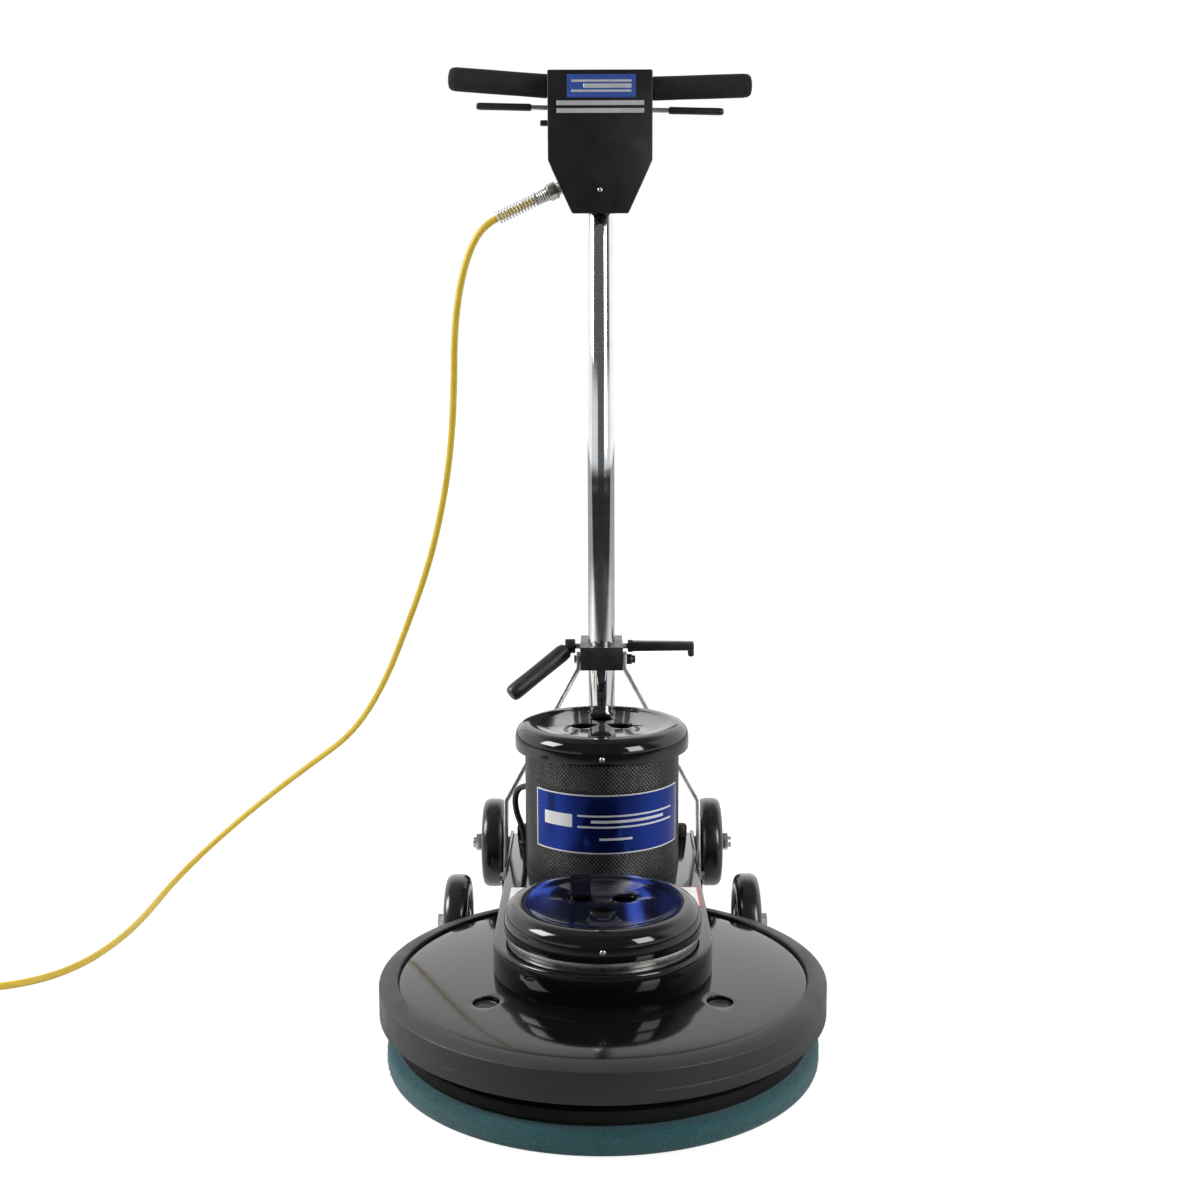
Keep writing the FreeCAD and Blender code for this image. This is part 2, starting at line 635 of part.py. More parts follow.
def lock_lever():
    """Black lever with a round grip, cranked down and a little forward from its hub."""
    hub = rod("lever_hub", 10.5, 15, "-hook_start - 15", "clamp_bolt_y", "lock_bolt_z", ALONG_X)
    bore = rod("lever_hub_bore", "strut_bolt_radius + running_gap", 12, "-hook_start - 8.5", "clamp_bolt_y",
               "lock_bolt_z", ALONG_X)
    reach = Vector(-0.75, -0.36, -0.555).normalize()
    lean = FreeCAD.Rotation(Vector(0, 0, 1), reach)
    turn = (lean.Axis, math.degrees(lean.Angle))
    grip = rod("lever_grip", "lever_radius", "lever_length", "-hook_start - 12", "clamp_bolt_y - 5",
               "lock_bolt_z - 4", turn)
    subpart("lock_lever", cut("lever_solid", fuse("lever_block", hub, grip), bore))


def cord_hook():
    """Flat arm in line with the lock bolt, with a turned-down tip that the cord is wound over."""
    side = "clamp_bolt_y - hook_depth / 2"
    arm = block("hook_arm", "hook_length", "hook_depth", "hook_height", "hook_start", side,
                "lock_bolt_z - hook_height / 2")
    tip = block("hook_tip", 8, "hook_depth", 21, "hook_start + hook_length - 8", side,
                "lock_bolt_z + hook_height / 2 - 21")
    bore = rod("hook_bore", "strut_bolt_radius + running_gap", 9, "hook_start - 0.5", "clamp_bolt_y",
               "lock_bolt_z", ALONG_X)
    subpart("cord_hook", cut("hook_solid", fuse("hook_block", arm, tip), bore))


def strut(side):
    """Flat bar from the side plate up to the clamp, upright at both ends and bent between.

    It is drawn in its own upright frame, foot pivot at the origin, and leaned back afterwards."""
    name = "left" if side < 0 else "right"
    reach = "sqrt((clamp_bolt_y - strut_foot_y)^2 + (clamp_bolt_z - strut_foot_z)^2)"
    low, high = "strut_inner", "strut_top_inner"
    wall = "strut_wall"
    outline = [
        (low, -11),
        (f"{low} + {wall}", -11),
        (f"{low} + {wall}", "strut_bend"),
        (f"{high} + {wall}", f"{reach} - 14"),
        (f"{high} + {wall}", f"{reach} + 9.5"),
        (high, f"{reach} + 9.5"),
        (high, f"{reach} - 16"),
        (low, "strut_bend - 2"),
    ]
    outline = [(f"{side} * ({u})", v) for u, v in outline]
    bar = extruded(f"{name}_strut_bar", "XZ_Plane", outline, "strut_width", midplane=True)
    foot = rod(f"{name}_strut_eye", "strut_bolt_radius + running_gap", 300, -150, 0, 0, ALONG_X)
    slot = block(f"{name}_strut_slot", 300, "eye_slot", "eye_slot", -150, "-eye_slot / 2",
                 f"{reach} - eye_slot / 2")
    whole = cut(f"{name}_strut_solid", bar, foot, slot)
    lean = "atan((clamp_bolt_y - strut_foot_y) / (clamp_bolt_z - strut_foot_z))"
    place(whole, 0, "strut_foot_y", "strut_foot_z", (Vector(-1, 0, 0), 1))
    whole.setExpression(".Placement.Rotation.Angle", formula(lean))
    subpart(f"{name}_strut", whole)


def strut_bolts():
    """Pivot bolts that pin the struts' feet to the side plates."""
    pieces = []
    for side, name in ((-1, "left"), (1, "right")):
        shank = rod(f"{name}_pivot_shank", "strut_bolt_radius",
                    "strut_inner + strut_wall + 1 - side_inner + 6", 0, 0, "side_inner - 6")
        head = hexagon(f"{name}_pivot_head", 13, 5, 0, 0, "strut_inner + strut_wall + 0.4")
        nut = hexagon(f"{name}_pivot_nut", 13, 5.5, 0, 0, "side_inner - 6")
        turn = ALONG_X if side > 0 else (Vector(0, 1, 0), -90)
        whole = fuse(f"{name}_pivot_bolt", shank, head, nut)
        pieces.append(place(whole, 0, "strut_foot_y", "strut_foot_z", turn))
    return pieces


def frame_fasteners():
    """Everything that is bolted to the two side plates, each a solid of its own."""
    subpart("frame_fasteners", group("fastener_set", *axle_nuts(), *lower_wheel_bolts(), *strut_bolts()))


# ---------------------------------------------------------------- handle head


def head_outline(inset, bottom, foot_half):
    """Straight sides above, tapering to a narrow foot."""
    half, foot = f"plate_half - {inset}", f"{foot_half}"
    return [
        (f"-({foot})", bottom),
        (foot, bottom),
        (half, "plate_corner"),
        (half, f"plate_top - {inset}"),
        (f"-({half})", f"plate_top - {inset}"),
        (f"-({half})", "plate_corner"),
    ]


def head_plate():
    """Folded front plate; it stands proud of the switch box all round."""
    outline = head_outline(0, "plate_bottom", "plate_foot_half")
    plate = extruded("front_plate", "XZ_Plane", outline, "plate_wall", backwards=True)
    place(plate, 0, "plate_y", 0)
    subpart("head_plate", plate)


def bar_halves(name, radius):
    """The two halves of the handlebar: each rises outwards and the whole bar leans a little."""
    halves = []
    for side in (-1, 1):
        halves.append(rod(f"{name}{side}", radius, "grip_end - 4", 0, "axle_y", "bar_z", bar_turn(side)))
    return halves


def bar_turn(side):
    rise = size("bar_rise") - side * size("bar_lean")
    return (Vector(0, 1, 0), side * (90 - rise))


def switch_box():
    """Sheet metal box behind the plate, open at the rear, with slots for bar, trigger and button."""
    outline = head_outline("box_inset", "box_bottom", "box_foot_half")
    inside = head_outline("(box_inset + box_wall)", "box_bottom + box_wall", "(box_foot_half - box_wall)")
    box = extruded("box_outer", "XZ_Plane", outline, "box_depth", backwards=True)
    hollow = extruded("box_inner", "XZ_Plane", inside, "box_depth", backwards=True)
    place(box, 0, "plate_y + plate_wall", 0)
    place(hollow, 0, "plate_y + plate_wall + box_wall", 0)
    slot = block("box_trigger_slot", 200, 14, 26, -100, "axle_y - 7", "trigger_z - 9")
    button = rod("box_button_hole", 4.1, 40, -90, "axle_y", "button_z", ALONG_X)
    tube_hole = rod("box_tube_hole", "tube_radius", 40, 0, "axle_y", "box_bottom - 10")
    gland_hole = rod("box_gland_hole", 8.4, 16, "gland_x + 10 * cos(gland_tilt)", "axle_y",
                     "gland_z + 10 * sin(gland_tilt)", gland_turn())
    subpart("switch_box", cut("box_solid", box, hollow, *bar_halves("box_bar_hole", "bar_radius + 0.1"), slot,
                              button, tube_hole, gland_hole))


def back_cover():
    """Flat cover screwed over the rear of the switch box."""
    outline = head_outline("box_inset", "box_bottom", "box_foot_half")
    plate = extruded("rear_plate", "XZ_Plane", outline, 1.5, backwards=True)
    place(plate, 0, "plate_y + plate_wall + box_depth", 0)
    subpart("back_cover", plate)


def head_screws():
    """Front screw through the plate's foot and four rear cover screws."""
    front = rod("front_screw", 3.4, 2, 0, "plate_y - 2", 1042, ALONG_Y)
    rear = [rod(f"rear_screw{number}", 3, 2, x, "plate_y + plate_wall + box_depth + 1.5", z, ALONG_Y)
            for number, (x, z) in enumerate(((-58, 1186), (58, 1186), (-58, 1096), (58, 1096)))]
    subpart("head_screws", group("head_screw_set", front, *rear))


def handlebar():
    """Steel tube with a shallow V, through the top of the switch box."""
    centre = doc.addObject("Part::Sphere", "bar_centre")
    bind(centre, Radius="bar_radius")
    place(centre, 0, "axle_y", "bar_z")
    subpart("handlebar", fuse("handlebar_solid", *bar_halves("bar_half", "bar_radius"), centre))


def grip(side):
    """Foam sleeve with a rounded, closed end."""
    name = "left" if side < 0 else "right"
    body = turned(f"{name}_grip_body", [
        (0, "grip_end - 4"),
        ("bar_radius", "grip_end - 4"),
        ("bar_radius", "grip_start"),
        ("grip_radius", "grip_start"),
        ("grip_radius", "grip_end - 4"),
        ("grip_radius - 4", "grip_end"),
        (0, "grip_end"),
    ])
    place(body, 0, "axle_y", "bar_z", bar_turn(side))
    subpart(f"{name}_grip", body)


def trigger_bar():
    """Straight steel rod through the head on two arms that swing about a hidden pin."""
    lean = size("bar_lean")
    across = (Vector(0, 1, 0), 90 + lean)
    bar = rod("trigger_rod", "trigger_radius", "2 * trigger_half", f"-trigger_half * cos({lean})", "axle_y",
              f"trigger_z + trigger_half * sin({lean})", across)
    arms = []
    for side in (-1, 1):
        arms.append(block(f"trigger_arm{side}", 4, "pivot_y - axle_y + 8", 12, f"{side} * 40 - 2",
                          "axle_y - 2", "pivot_z - 6"))
    bore = rod("trigger_bore", "4 + running_gap", 200, -100, "pivot_y", "pivot_z", ALONG_X)
    subpart("trigger_bar", cut("trigger_solid", fuse("trigger_block", bar, *arms), bore))


def trigger_sleeves():
    """Black dipped sleeves on both ends of the trigger rod."""
    lean = size("bar_lean")
    sleeves = []
    for side in (-1, 1):
        start = "trigger_half - sleeve_length"
        sleeve = cut(f"sleeve{side}", rod(f"sleeve_skin{side}", "sleeve_radius", "sleeve_length + 3"),
                     rod(f"sleeve_bore{side}", "trigger_radius", "sleeve_length"))
        turn = (Vector(0, 1, 0), side * 90 + lean)
        reach = f"{side} * ({start})"
        place(sleeve, f"{reach} * cos({lean})", "axle_y", f"trigger_z - {reach} * sin({lean})", turn)
        sleeves.append(sleeve)
    subpart("trigger_sleeves", group("sleeve_pair", *sleeves))


def trigger_pin():
    """Hinge pin of the trigger bar, across the switch box."""
    subpart("trigger_pin", rod("trigger_pin_bar", 4, "2 * (plate_half - box_inset - box_wall)",
                               "-(plate_half - box_inset - box_wall)", "pivot_y", "pivot_z", ALONG_X))


def safety_button():
    """Lock-out button in the left side of the head."""
    stem = rod("button_stem", 4, 26, -82, "axle_y", "button_z", ALONG_X)
    subpart("safety_button", stem)


def power_switch():
    """Double-pole switch under the trigger, with its plunger up."""
    body = block("switch_body", 46, 24, 34, -23, "axle_y - 12", 1100)
    plunger = rod("switch_plunger", 3, 6, 0, "axle_y", 1134)
    subpart("power_switch", fuse("switch_solid", body, plunger))


# ---------------------------------------------------------------- cord


def gland_turn():
    return (Vector(0, -1, 0), 90 + size("gland_tilt"))


def cord_gland():
    """Zinc cord grip: hex nut against the box and a ribbed, tapered body."""
    nut = hexagon("gland_nut", 24, 20)
    neck = rod("gland_thread", 8.4, 10, z=-6)
    body = cone("gland_body", 10.5, 8.2, 18, z=20)
    whole = fuse("gland_solid", nut, neck, body)
    subpart("cord_gland", place(whole, "gland_x", "axle_y", "gland_z", gland_turn()))


def cord_relief():
    """Wound wire strain relief round the cord, drawn as its outer envelope."""
    start = 38
    spring = cone("relief_cone", 8.6, 6.8, f"gland_length - {start}")
    place(spring, f"gland_x - {start} * cos(gland_tilt)", "axle_y", f"gland_z - {start} * sin(gland_tilt)",
          gland_turn())
    subpart("cord_relief", spring)


CORD_ROUTE = [
    (-142.7, 435, 1010.6), (-162, 435.5, 1001), (-183, 440, 966), (-198, 449, 914), (-207, 463, 852),
    (-210, 480, 780), (-217, 499, 698), (-232, 517, 612), (-257, 538, 518), (-294, 564, 424),
    (-338, 596, 322), (-392, 626, 240), (-468, 654, 182), (-548, 666, 120), (-618, 656, 62),
    (-664, 622, 20), (-680, 552, 4.85), (-679, 478, 4.85), (-681, 404, 4.85), (-690, 330, 4.85),
    (-708, 262, 4.85), (-742, 208, 4.85), (-796, 178, 4.85), (-856, 169, 4.85), (-914, 171, 4.85),
]


def tube_along(points, radius):
    """Round tube along straight runs joined by tangent arcs; the arcs' radii are printed."""
    edges = []
    last = points[0]
    radii = []
    for before, corner, after in zip(points, points[1:], points[2:]):
        inward, outward = (corner - before), (after - corner)
        turn = inward.getAngle(outward)
        reach = 0.45 * min(inward.Length, outward.Length)
        radii.append(reach / math.tan(turn / 2))
        inward, outward = Vector(inward).normalize(), Vector(outward).normalize()
        start, end = corner - inward * reach, corner + outward * reach
        bisector = Vector(outward - inward).normalize()
        sagitta = radii[-1] / math.cos(turn / 2) - radii[-1]
        edges.append(Part.LineSegment(last, start).toShape())
        edges.append(Part.Arc(start, corner + bisector * sagitta, end).toShape())
        last = end
    edges.append(Part.LineSegment(last, points[-1]).toShape())
    path = Part.Wire(edges)
    heading = Vector(points[1] - points[0])
    section = Part.Wire(Part.makeCircle(radius, points[0], heading))
    tube = path.makePipeShell([section], True, False)
    expected = math.pi * radius ** 2 * path.Length
    print(f"tube length {path.Length:.1f}, radii {min(radii):.0f} to {max(radii):.0f},"
          f" volume ratio {tube.Volume / expected:.4f}")
    return tube


def power_cord():
    """Free cord from the strain relief down to the floor and away to the coil."""
    route = [Vector(*point) for point in CORD_ROUTE]
    subpart("power_cord", feature("cord_tube", tube_along(route, size("cord_radius"))))


def cord_coil():
    """Outer shape of the put-away coil of cord."""
    subpart("cord_coil", ring("coil_ring", "coil_outer", "coil_inner", "coil_height", "coil_x", "coil_y", 0))


def power_plug():
    """Moulded three-pin plug lying on the coil."""
    neck = cone("plug_neck", 7, 11, 20)
    body = rod("plug_body", 17, 38, z=20)
    pins = [block("plug_blade_left", 1.6, 6.4, 18, -7.2, -3.2, 58),
            block("plug_blade_right", 1.6, 6.4, 18, 5.6, -3.2, 58),
            rod("plug_ground_pin", 2.4, 21, 0, 10, 58)]
    whole = fuse("plug_solid", neck, body, *pins)
    subpart("power_plug", place(whole, "coil_x - 38", "coil_y - 86", "coil_height + 17", ALONG_X))


def build():
    floor_pad()
    pad_driver()
    pad_gripper()
    spindle()
    pulley("spindle_pulley", "spindle_pulley_radius", "spindle_radius", 0)
    pulley("motor_pulley", "motor_pulley_radius", "motor_shaft_radius", "motor_y")
    belt()
    ball_bearings()
    bearing_housings()
    deck()
    deck_plugs()
    bumper()
    belt_housing()
    cover_ring()
    round_cover("spindle_cover", 0, 0, "ring_top", -90)
    round_cover("motor_cap", 0, "motor_y", "cap_bottom", 90)
    cover_screws()
    motor_case()
    motor_shroud()
    motor_stator()
    motor_windings()
    motor_end_plates()
    motor_shaft()
    motor_rotor()
    motor_fan()
    for side in (-1, 1):
        side_plate(side)
        strut(side)
        grip(side)
    rear_axle()
    for name, side in (("left", -1), ("right", 1)):
        wheel(f"upper_{name}", "axle_radius + running_gap", f"{side} * upper_wheel_x", "axle_y", "axle_z")
        wheel(f"lower_{name}", "lower_bolt_radius + running_gap", f"{side} * lower_wheel_x", "lower_wheel_y",
              "wheel_radius")
    stop_posts()
    motor_lead()
    handle_yoke()
    handle_tube()
    clamp_block()
    clamp_bolts()
    lock_lever()
    cord_hook()
    frame_fasteners()
    head_plate()
    switch_box()
    back_cover()
    head_screws()
    handlebar()
    trigger_bar()
    trigger_sleeves()
    trigger_pin()
    safety_button()
    power_switch()
    cord_gland()
    cord_relief()
    power_cord()
    cord_coil()
    power_plug()


def check_and_export():
    doc.recompute()
    for thing in doc.Objects:
        if "Invalid" in thing.State or "Error" in thing.State:
            raise RuntimeError(f"{thing.Name} failed: {thing.State}")
    os.makedirs("parts", exist_ok=True)
    for thing in SUBPARTS:
        if thing.Shape.isNull() or not thing.Shape.isValid():
            raise RuntimeError(f"{thing.Label} has no valid shape")
        thing.Shape.exportStep(f"parts/{thing.Label}.step")
    print(len(SUBPARTS), "sub-parts written")


build()
check_and_export()
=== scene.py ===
import math

import bpy
from mathutils import Matrix, Vector


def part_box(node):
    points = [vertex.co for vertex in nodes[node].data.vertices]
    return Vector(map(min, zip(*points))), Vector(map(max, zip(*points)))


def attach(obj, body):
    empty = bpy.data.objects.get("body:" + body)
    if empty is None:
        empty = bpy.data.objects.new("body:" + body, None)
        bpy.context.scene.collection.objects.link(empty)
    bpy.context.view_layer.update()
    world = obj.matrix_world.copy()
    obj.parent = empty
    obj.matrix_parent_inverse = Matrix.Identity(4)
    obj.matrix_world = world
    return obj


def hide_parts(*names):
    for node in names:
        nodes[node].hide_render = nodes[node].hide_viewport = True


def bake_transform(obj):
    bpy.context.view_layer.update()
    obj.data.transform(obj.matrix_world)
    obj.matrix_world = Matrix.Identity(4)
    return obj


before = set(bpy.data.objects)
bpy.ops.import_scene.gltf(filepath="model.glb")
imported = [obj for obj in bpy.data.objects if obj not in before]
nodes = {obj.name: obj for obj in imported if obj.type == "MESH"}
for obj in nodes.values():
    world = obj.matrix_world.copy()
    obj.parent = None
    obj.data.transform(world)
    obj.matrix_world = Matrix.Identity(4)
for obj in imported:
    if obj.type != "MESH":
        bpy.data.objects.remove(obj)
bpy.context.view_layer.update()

MM = 0.001

# -------------------- studio
# A white seamless floor and a bright wall behind and beside, low on the horizon, with a dark ceiling and a
# dark front of the room, so that black enamel and chrome show soft bright and dark bands.
scene = bpy.context.scene
CAMERA_PLACE, DEGREES_DOWN, DEGREES_ROLLED = (-0.002, -1.6882, 0.7787), 8.05, -0.172
scene.view_settings.view_transform = "Standard"


def placed(name, data):
    """A new object for this data, in the scene."""
    made = bpy.data.objects.new(name, data)
    scene.collection.objects.link(made)
    return made


camera_data = bpy.data.cameras.new("camera")
camera_data.lens, camera_data.sensor_width = 45, 36
camera = placed("camera", camera_data)
camera_place = Matrix.Translation(CAMERA_PLACE)
camera_pitch = Matrix.Rotation(math.radians(90 - DEGREES_DOWN), 4, "X")
camera_roll = Matrix.Rotation(math.radians(DEGREES_ROLLED), 4, "Z")
camera.matrix_world = camera_place @ camera_pitch @ camera_roll
scene.camera = camera


def add_node(tree, kind, inputs=None, **settings):
    """One node: plain values go on its sockets; a socket, or a node's first output, is linked to them."""
    made = tree.nodes.new("ShaderNode" + kind)
    for name, value in settings.items():
        setattr(made, name, value)
    for key, value in (inputs or {}).items():
        if isinstance(value, bpy.types.Node):
            value = value.outputs[0]
        if isinstance(value, bpy.types.NodeSocket):
            tree.links.new(value, made.inputs[key])
        else:
            made.inputs[key].default_value = value
    return made


def linear(hex_colour):
    """An sRGB hex colour as the linear RGBA that a socket takes."""
    channels = [int(hex_colour[index:index + 2], 16) / 255 for index in (1, 3, 5)]
    return [c / 12.92 if c <= 0.04045 else ((c + 0.055) / 1.055) ** 2.4 for c in channels] + [1.0]


def surface(name, colour, roughness, metallic=0.0, coat=0.0, coat_roughness=0.05, ior=1.5):
    """A new Principled material with plain values on its sockets."""
    material = bpy.data.materials.new(name)
    material.use_nodes = True
    tree = material.node_tree
    shader = tree.nodes["Principled BSDF"]
    values = {"Base Color": linear(colour), "Roughness": roughness, "Metallic": metallic, "IOR": ior,
              "Coat Weight": coat, "Coat Roughness": coat_roughness}
    for socket, value in values.items():
        shader.inputs[socket].default_value = value
    return material, tree, shader


def worn(made, colours, patch, roughness, grain, depth, stretch=(1, 1, 1)):
    """Gives a surface soft patches of colour and gloss and a fine raised grain. Sizes in millimetres."""
    material, tree, shader = made
    place = add_node(tree, "TexCoord").outputs["Object"]
    turned_place = add_node(tree, "Mapping", {"Vector": place, "Scale": stretch})
    clouds = add_node(tree, "TexNoise", {"Vector": turned_place, "Scale": 1 / (patch * MM), "Detail": 4.0})
    tint = add_node(tree, "MixRGB", {"Fac": clouds, "Color1": linear(colours[0]),
                                     "Color2": linear(colours[1])})
    gloss = add_node(tree, "MapRange", {"Value": clouds, "From Min": 0.3, "From Max": 0.7,
                                        "To Min": roughness[0], "To Max": roughness[1]})
    fine = add_node(tree, "TexNoise", {"Vector": turned_place, "Scale": 1 / (grain * MM), "Detail": 2.0})
    bump = add_node(tree, "Bump", {"Height": fine, "Strength": 1.0, "Distance": depth * MM})
    tree.links.new(tint.outputs["Color"], shader.inputs["Base Color"])
    tree.links.new(gloss.outputs["Result"], shader.inputs["Roughness"])
    tree.links.new(bump.outputs["Normal"], shader.inputs["Normal"])
    return material


def only(piece):
    """Selects this piece alone and makes it the active one."""
    bpy.ops.object.select_all(action="DESELECT")
    piece.select_set(True)
    bpy.context.view_layer.objects.active = piece


def started(name, add_primitive, **settings):
    """A new mesh primitive under this name, made by one of Blender's own operators."""
    bpy.ops.object.select_all(action="DESELECT")
    add_primitive(**settings)
    bpy.context.object.name = name
    return bpy.context.object


def enter(mode, chosen=None):
    """Switches to edit or object mode; in edit mode, chosen selects all of the mesh or none of it."""
    bpy.ops.object.mode_set(mode=mode)
    if chosen:
        bpy.ops.mesh.select_all(action=chosen)


def outward():
    """Turns all faces of the mesh in edit mode outward, and leaves edit mode."""
    bpy.ops.mesh.select_all(action="SELECT")
    bpy.ops.mesh.normals_make_consistent(inside=False)
    enter("OBJECT")


def choose(parts, test):
    """Selects the vertices, edges or faces that pass a test and no others, in edit mode."""
    enter("EDIT", "DESELECT")
    enter("OBJECT")
    for part in parts:
        part.select = test(part)
    enter("EDIT")


def paint(piece, material):
    """Gives a piece this material and no other."""
    piece.data.materials.clear()
    piece.data.materials.append(material)


studio = bpy.data.worlds.new("studio")
scene.world = studio
studio.use_nodes = True
room = studio.node_tree
room.nodes.clear()
direction = add_node(room, "SeparateXYZ", {"Vector": add_node(room, "TexCoord").outputs["Generated"]})


def ramp(tree, value, start, end, low, high):
    """A smooth step of a value: low before start, high after end."""
    step = add_node(tree, "MapRange", {"Value": value, "From Min": start, "From Max": end, "To Min": low,
                                       "To Max": high}, interpolation_type="SMOOTHSTEP")
    return step.outputs["Result"]


def product(tree, first, second):
    return add_node(tree, "Math", {0: first, 1: second}, operation="MULTIPLY").outputs["Value"]


# The wall behind and beside is bright up to about 45 degrees, and the ceiling above it is dark. In front,
# a low bright band leaves a dark gap straight ahead, where the camera stands.
behind = ramp(room, direction.outputs["Y"], -0.35, 0.0, 0.0, 1.0)
below_ceiling = ramp(room, direction.outputs["Z"], 0.55, 0.85, 1.0, 0.22)
low_band = ramp(room, direction.outputs["Z"], 0.08, 0.20, 0.7, 0.0)
front_gap = ramp(room, direction.outputs["Y"], -0.93, -0.86, 0.0, 1.0)
back_wall = product(room, behind, below_ceiling)
front_band = product(room, low_band, front_gap)
brighter = add_node(room, "Math", {0: back_wall, 1: front_band}, operation="MAXIMUM")
tone = add_node(room, "Math", {0: brighter, 1: 0.10}, operation="MAXIMUM")
lit = add_node(room, "Background", {"Color": tone, "Strength": 1.3})
seen = add_node(room, "Background", {"Color": (1, 1, 1, 1), "Strength": 1.0})
seen_direct = add_node(room, "LightPath")
sky = add_node(room, "MixShader", {0: seen_direct, 1: lit, 2: seen})
add_node(room, "OutputWorld", {"Surface": sky})

SOFTBOXES = (
    # name, place, size across and up, watts, looks at
    ("left_softbox", (-2.1, -0.15, 1.7), (1.0, 1.1), 52, (0, 0.2, 0.35)),
    ("right_softbox", (1.7, -1.45, 1.35), (0.85, 1.3), 36, (0, 0.2, 0.45)),
)
for name, spot, (across, up), watts, target in SOFTBOXES:
    softbox = bpy.data.lights.new(name, "AREA")
    softbox.shape = "RECTANGLE"
    softbox.size = across
    softbox.size_y = up
    softbox.energy = watts
    lamp = placed(name, softbox)
    lamp.location = spot
    lamp.rotation_euler = (Vector(target) - Vector(spot)).to_track_quat("-Z", "Y").to_euler()

floor = started("studio_floor", bpy.ops.mesh.primitive_plane_add, size=60, location=(0, 0, 0))
floor_paint, floor_tree, floor_shader = surface("pale_floor", "#F4F4F2", 0.6)
floor_tree.nodes.remove(floor_shader)
# Lit from below like a light table where it is looked at, and paler behind the machine than in front of it.
floor_spot = add_node(floor_tree, "TexCoord").outputs["Object"]
floor_place = add_node(floor_tree, "SeparateXYZ", {"Vector": floor_spot})
floor_tone = ramp(floor_tree, floor_place.outputs["Y"], -0.9, 0.2, 0.06, 0.85)
floor_bounce = add_node(floor_tree, "BsdfDiffuse", {"Color": floor_tone})
floor_shade = add_node(floor_tree, "BsdfDiffuse", {"Color": (0.3, 0.3, 0.3, 1)})
floor_reach = add_node(floor_tree, "VectorMath", {0: floor_spot}, operation="LENGTH")
floor_light = ramp(floor_tree, floor_reach.outputs["Value"], 0.5, 1.5, 0.84, 1.0)
floor_glow = add_node(floor_tree, "Emission", {"Color": (1, 1, 1, 1), "Strength": floor_light})
floor_seen = add_node(floor_tree, "AddShader", {0: floor_glow, 1: floor_shade})
floor_direct = add_node(floor_tree, "LightPath")
floor_mix = add_node(floor_tree, "MixShader", {0: floor_direct, 1: floor_bounce, 2: floor_seen})
floor_tree.links.new(floor_mix.outputs["Shader"], floor_tree.nodes["Material Output"].inputs["Surface"])
floor.data.materials.append(floor_paint)


# -------------------- power cord
# Three-core flexible cable with a yellow extruded jacket, 9.7 mm thick and 50 ft long. It leaves the wire
# strain relief, hangs to the floor behind the left of the machine and ends in a tied coil with its plug.
CORD_RADIUS = 4.85 * MM
CORD_ROUTE = [
    (-142.7, 435, 1010.6), (-162, 435.5, 1001), (-183, 440, 966), (-198, 449, 914), (-207, 463, 852),
    (-210, 480, 780), (-217, 499, 698), (-232, 517, 612), (-257, 538, 518), (-294, 564, 424),
    (-338, 596, 322), (-392, 626, 240), (-468, 654, 182), (-548, 666, 120), (-618, 656, 62),
    (-664, 622, 20), (-680, 552, 4.85), (-679, 478, 4.85), (-681, 404, 4.85), (-690, 330, 4.85),
    (-708, 262, 4.85), (-742, 210, 4.85), (-796, 182, 4.85), (-856, 174, 4.85),
]


def coil_turns(centre, outer, inner, layer_count, layer_step, turns_each, points_each=14):
    """Points of a neat wound coil: each layer runs in or out, then climbs to the next in a quarter turn."""
    points = []
    angle = math.radians(84)
    for layer in range(layer_count):
        start, end = (outer, inner) if layer % 2 == 0 else (inner, outer)
        height = CORD_RADIUS / MM + layer * layer_step
        steps = round(turns_each * points_each)
        for step in range(steps):
            radius = start + (end - start) * step / steps
            points.append((centre[0] + radius * math.cos(angle), centre[1] + radius * math.sin(angle),
                           height))
            angle += 2 * math.pi / points_each
        if layer < layer_count - 1:
            for step in range(3):
                lift = height + layer_step * (step + 0.5) / 3.5
                points.append((centre[0] + end * math.cos(angle), centre[1] + end * math.sin(angle), lift))
                angle += 2 * math.pi / points_each
    return points


def nurbs_line(name, points):
    """A smooth NURBS curve with these points, in millimetres, as its control points."""
    curve = bpy.data.curves.new(name, "CURVE")
    curve.dimensions = "3D"
    spline = curve.splines.new("NURBS")
    spline.points.add(len(points) - 1)
    for point, (x, y, z) in zip(spline.points, points):
        point.co = (x * MM, y * MM, z * MM, 1)
    spline.order_u = 3
    spline.use_endpoint_u = True
    return placed(name, curve)


def follow_points(line, resolution):
    """The points along a curve with no bevel."""
    line.data.splines[0].resolution_u = resolution
    bpy.context.view_layer.update()
    bare = bpy.data.meshes.new_from_object(line.evaluated_get(bpy.context.evaluated_depsgraph_get()))
    points = [tuple(vertex.co) for vertex in bare.vertices]
    bpy.data.meshes.remove(bare)
    return points


def as_tube(line, radius, sides):
    """Turns a curve into a closed mesh tube."""
    line.data.bevel_depth = radius
    line.data.bevel_resolution = sides
    line.data.use_fill_caps = True
    only(line)
    bpy.ops.object.convert(target="MESH")
    bpy.ops.object.shade_smooth()
    return line


COIL_CENTRE = (-925, 61)
coil = coil_turns(COIL_CENTRE, 115, 55, 4, 10, 6.05)
cord = nurbs_line("power_cord_run", CORD_ROUTE + coil)
cord_path = follow_points(cord, 6)
as_tube(cord, CORD_RADIUS, 3)
# Yellow PVC jacket, extruded: smooth, a little waxy, faintly ribbed by the twisted cores and dusted by use.
jacket = worn(surface("extruded_pvc_jacket", "#CFB03A", 0.38, ior=1.54),
              ("#C6A528", "#D6BA3C"), 25, (0.34, 0.5), 2.5, 0.03)
cord.data.materials.append(jacket)
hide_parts("power_cord", "cord_coil")
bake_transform(cord)


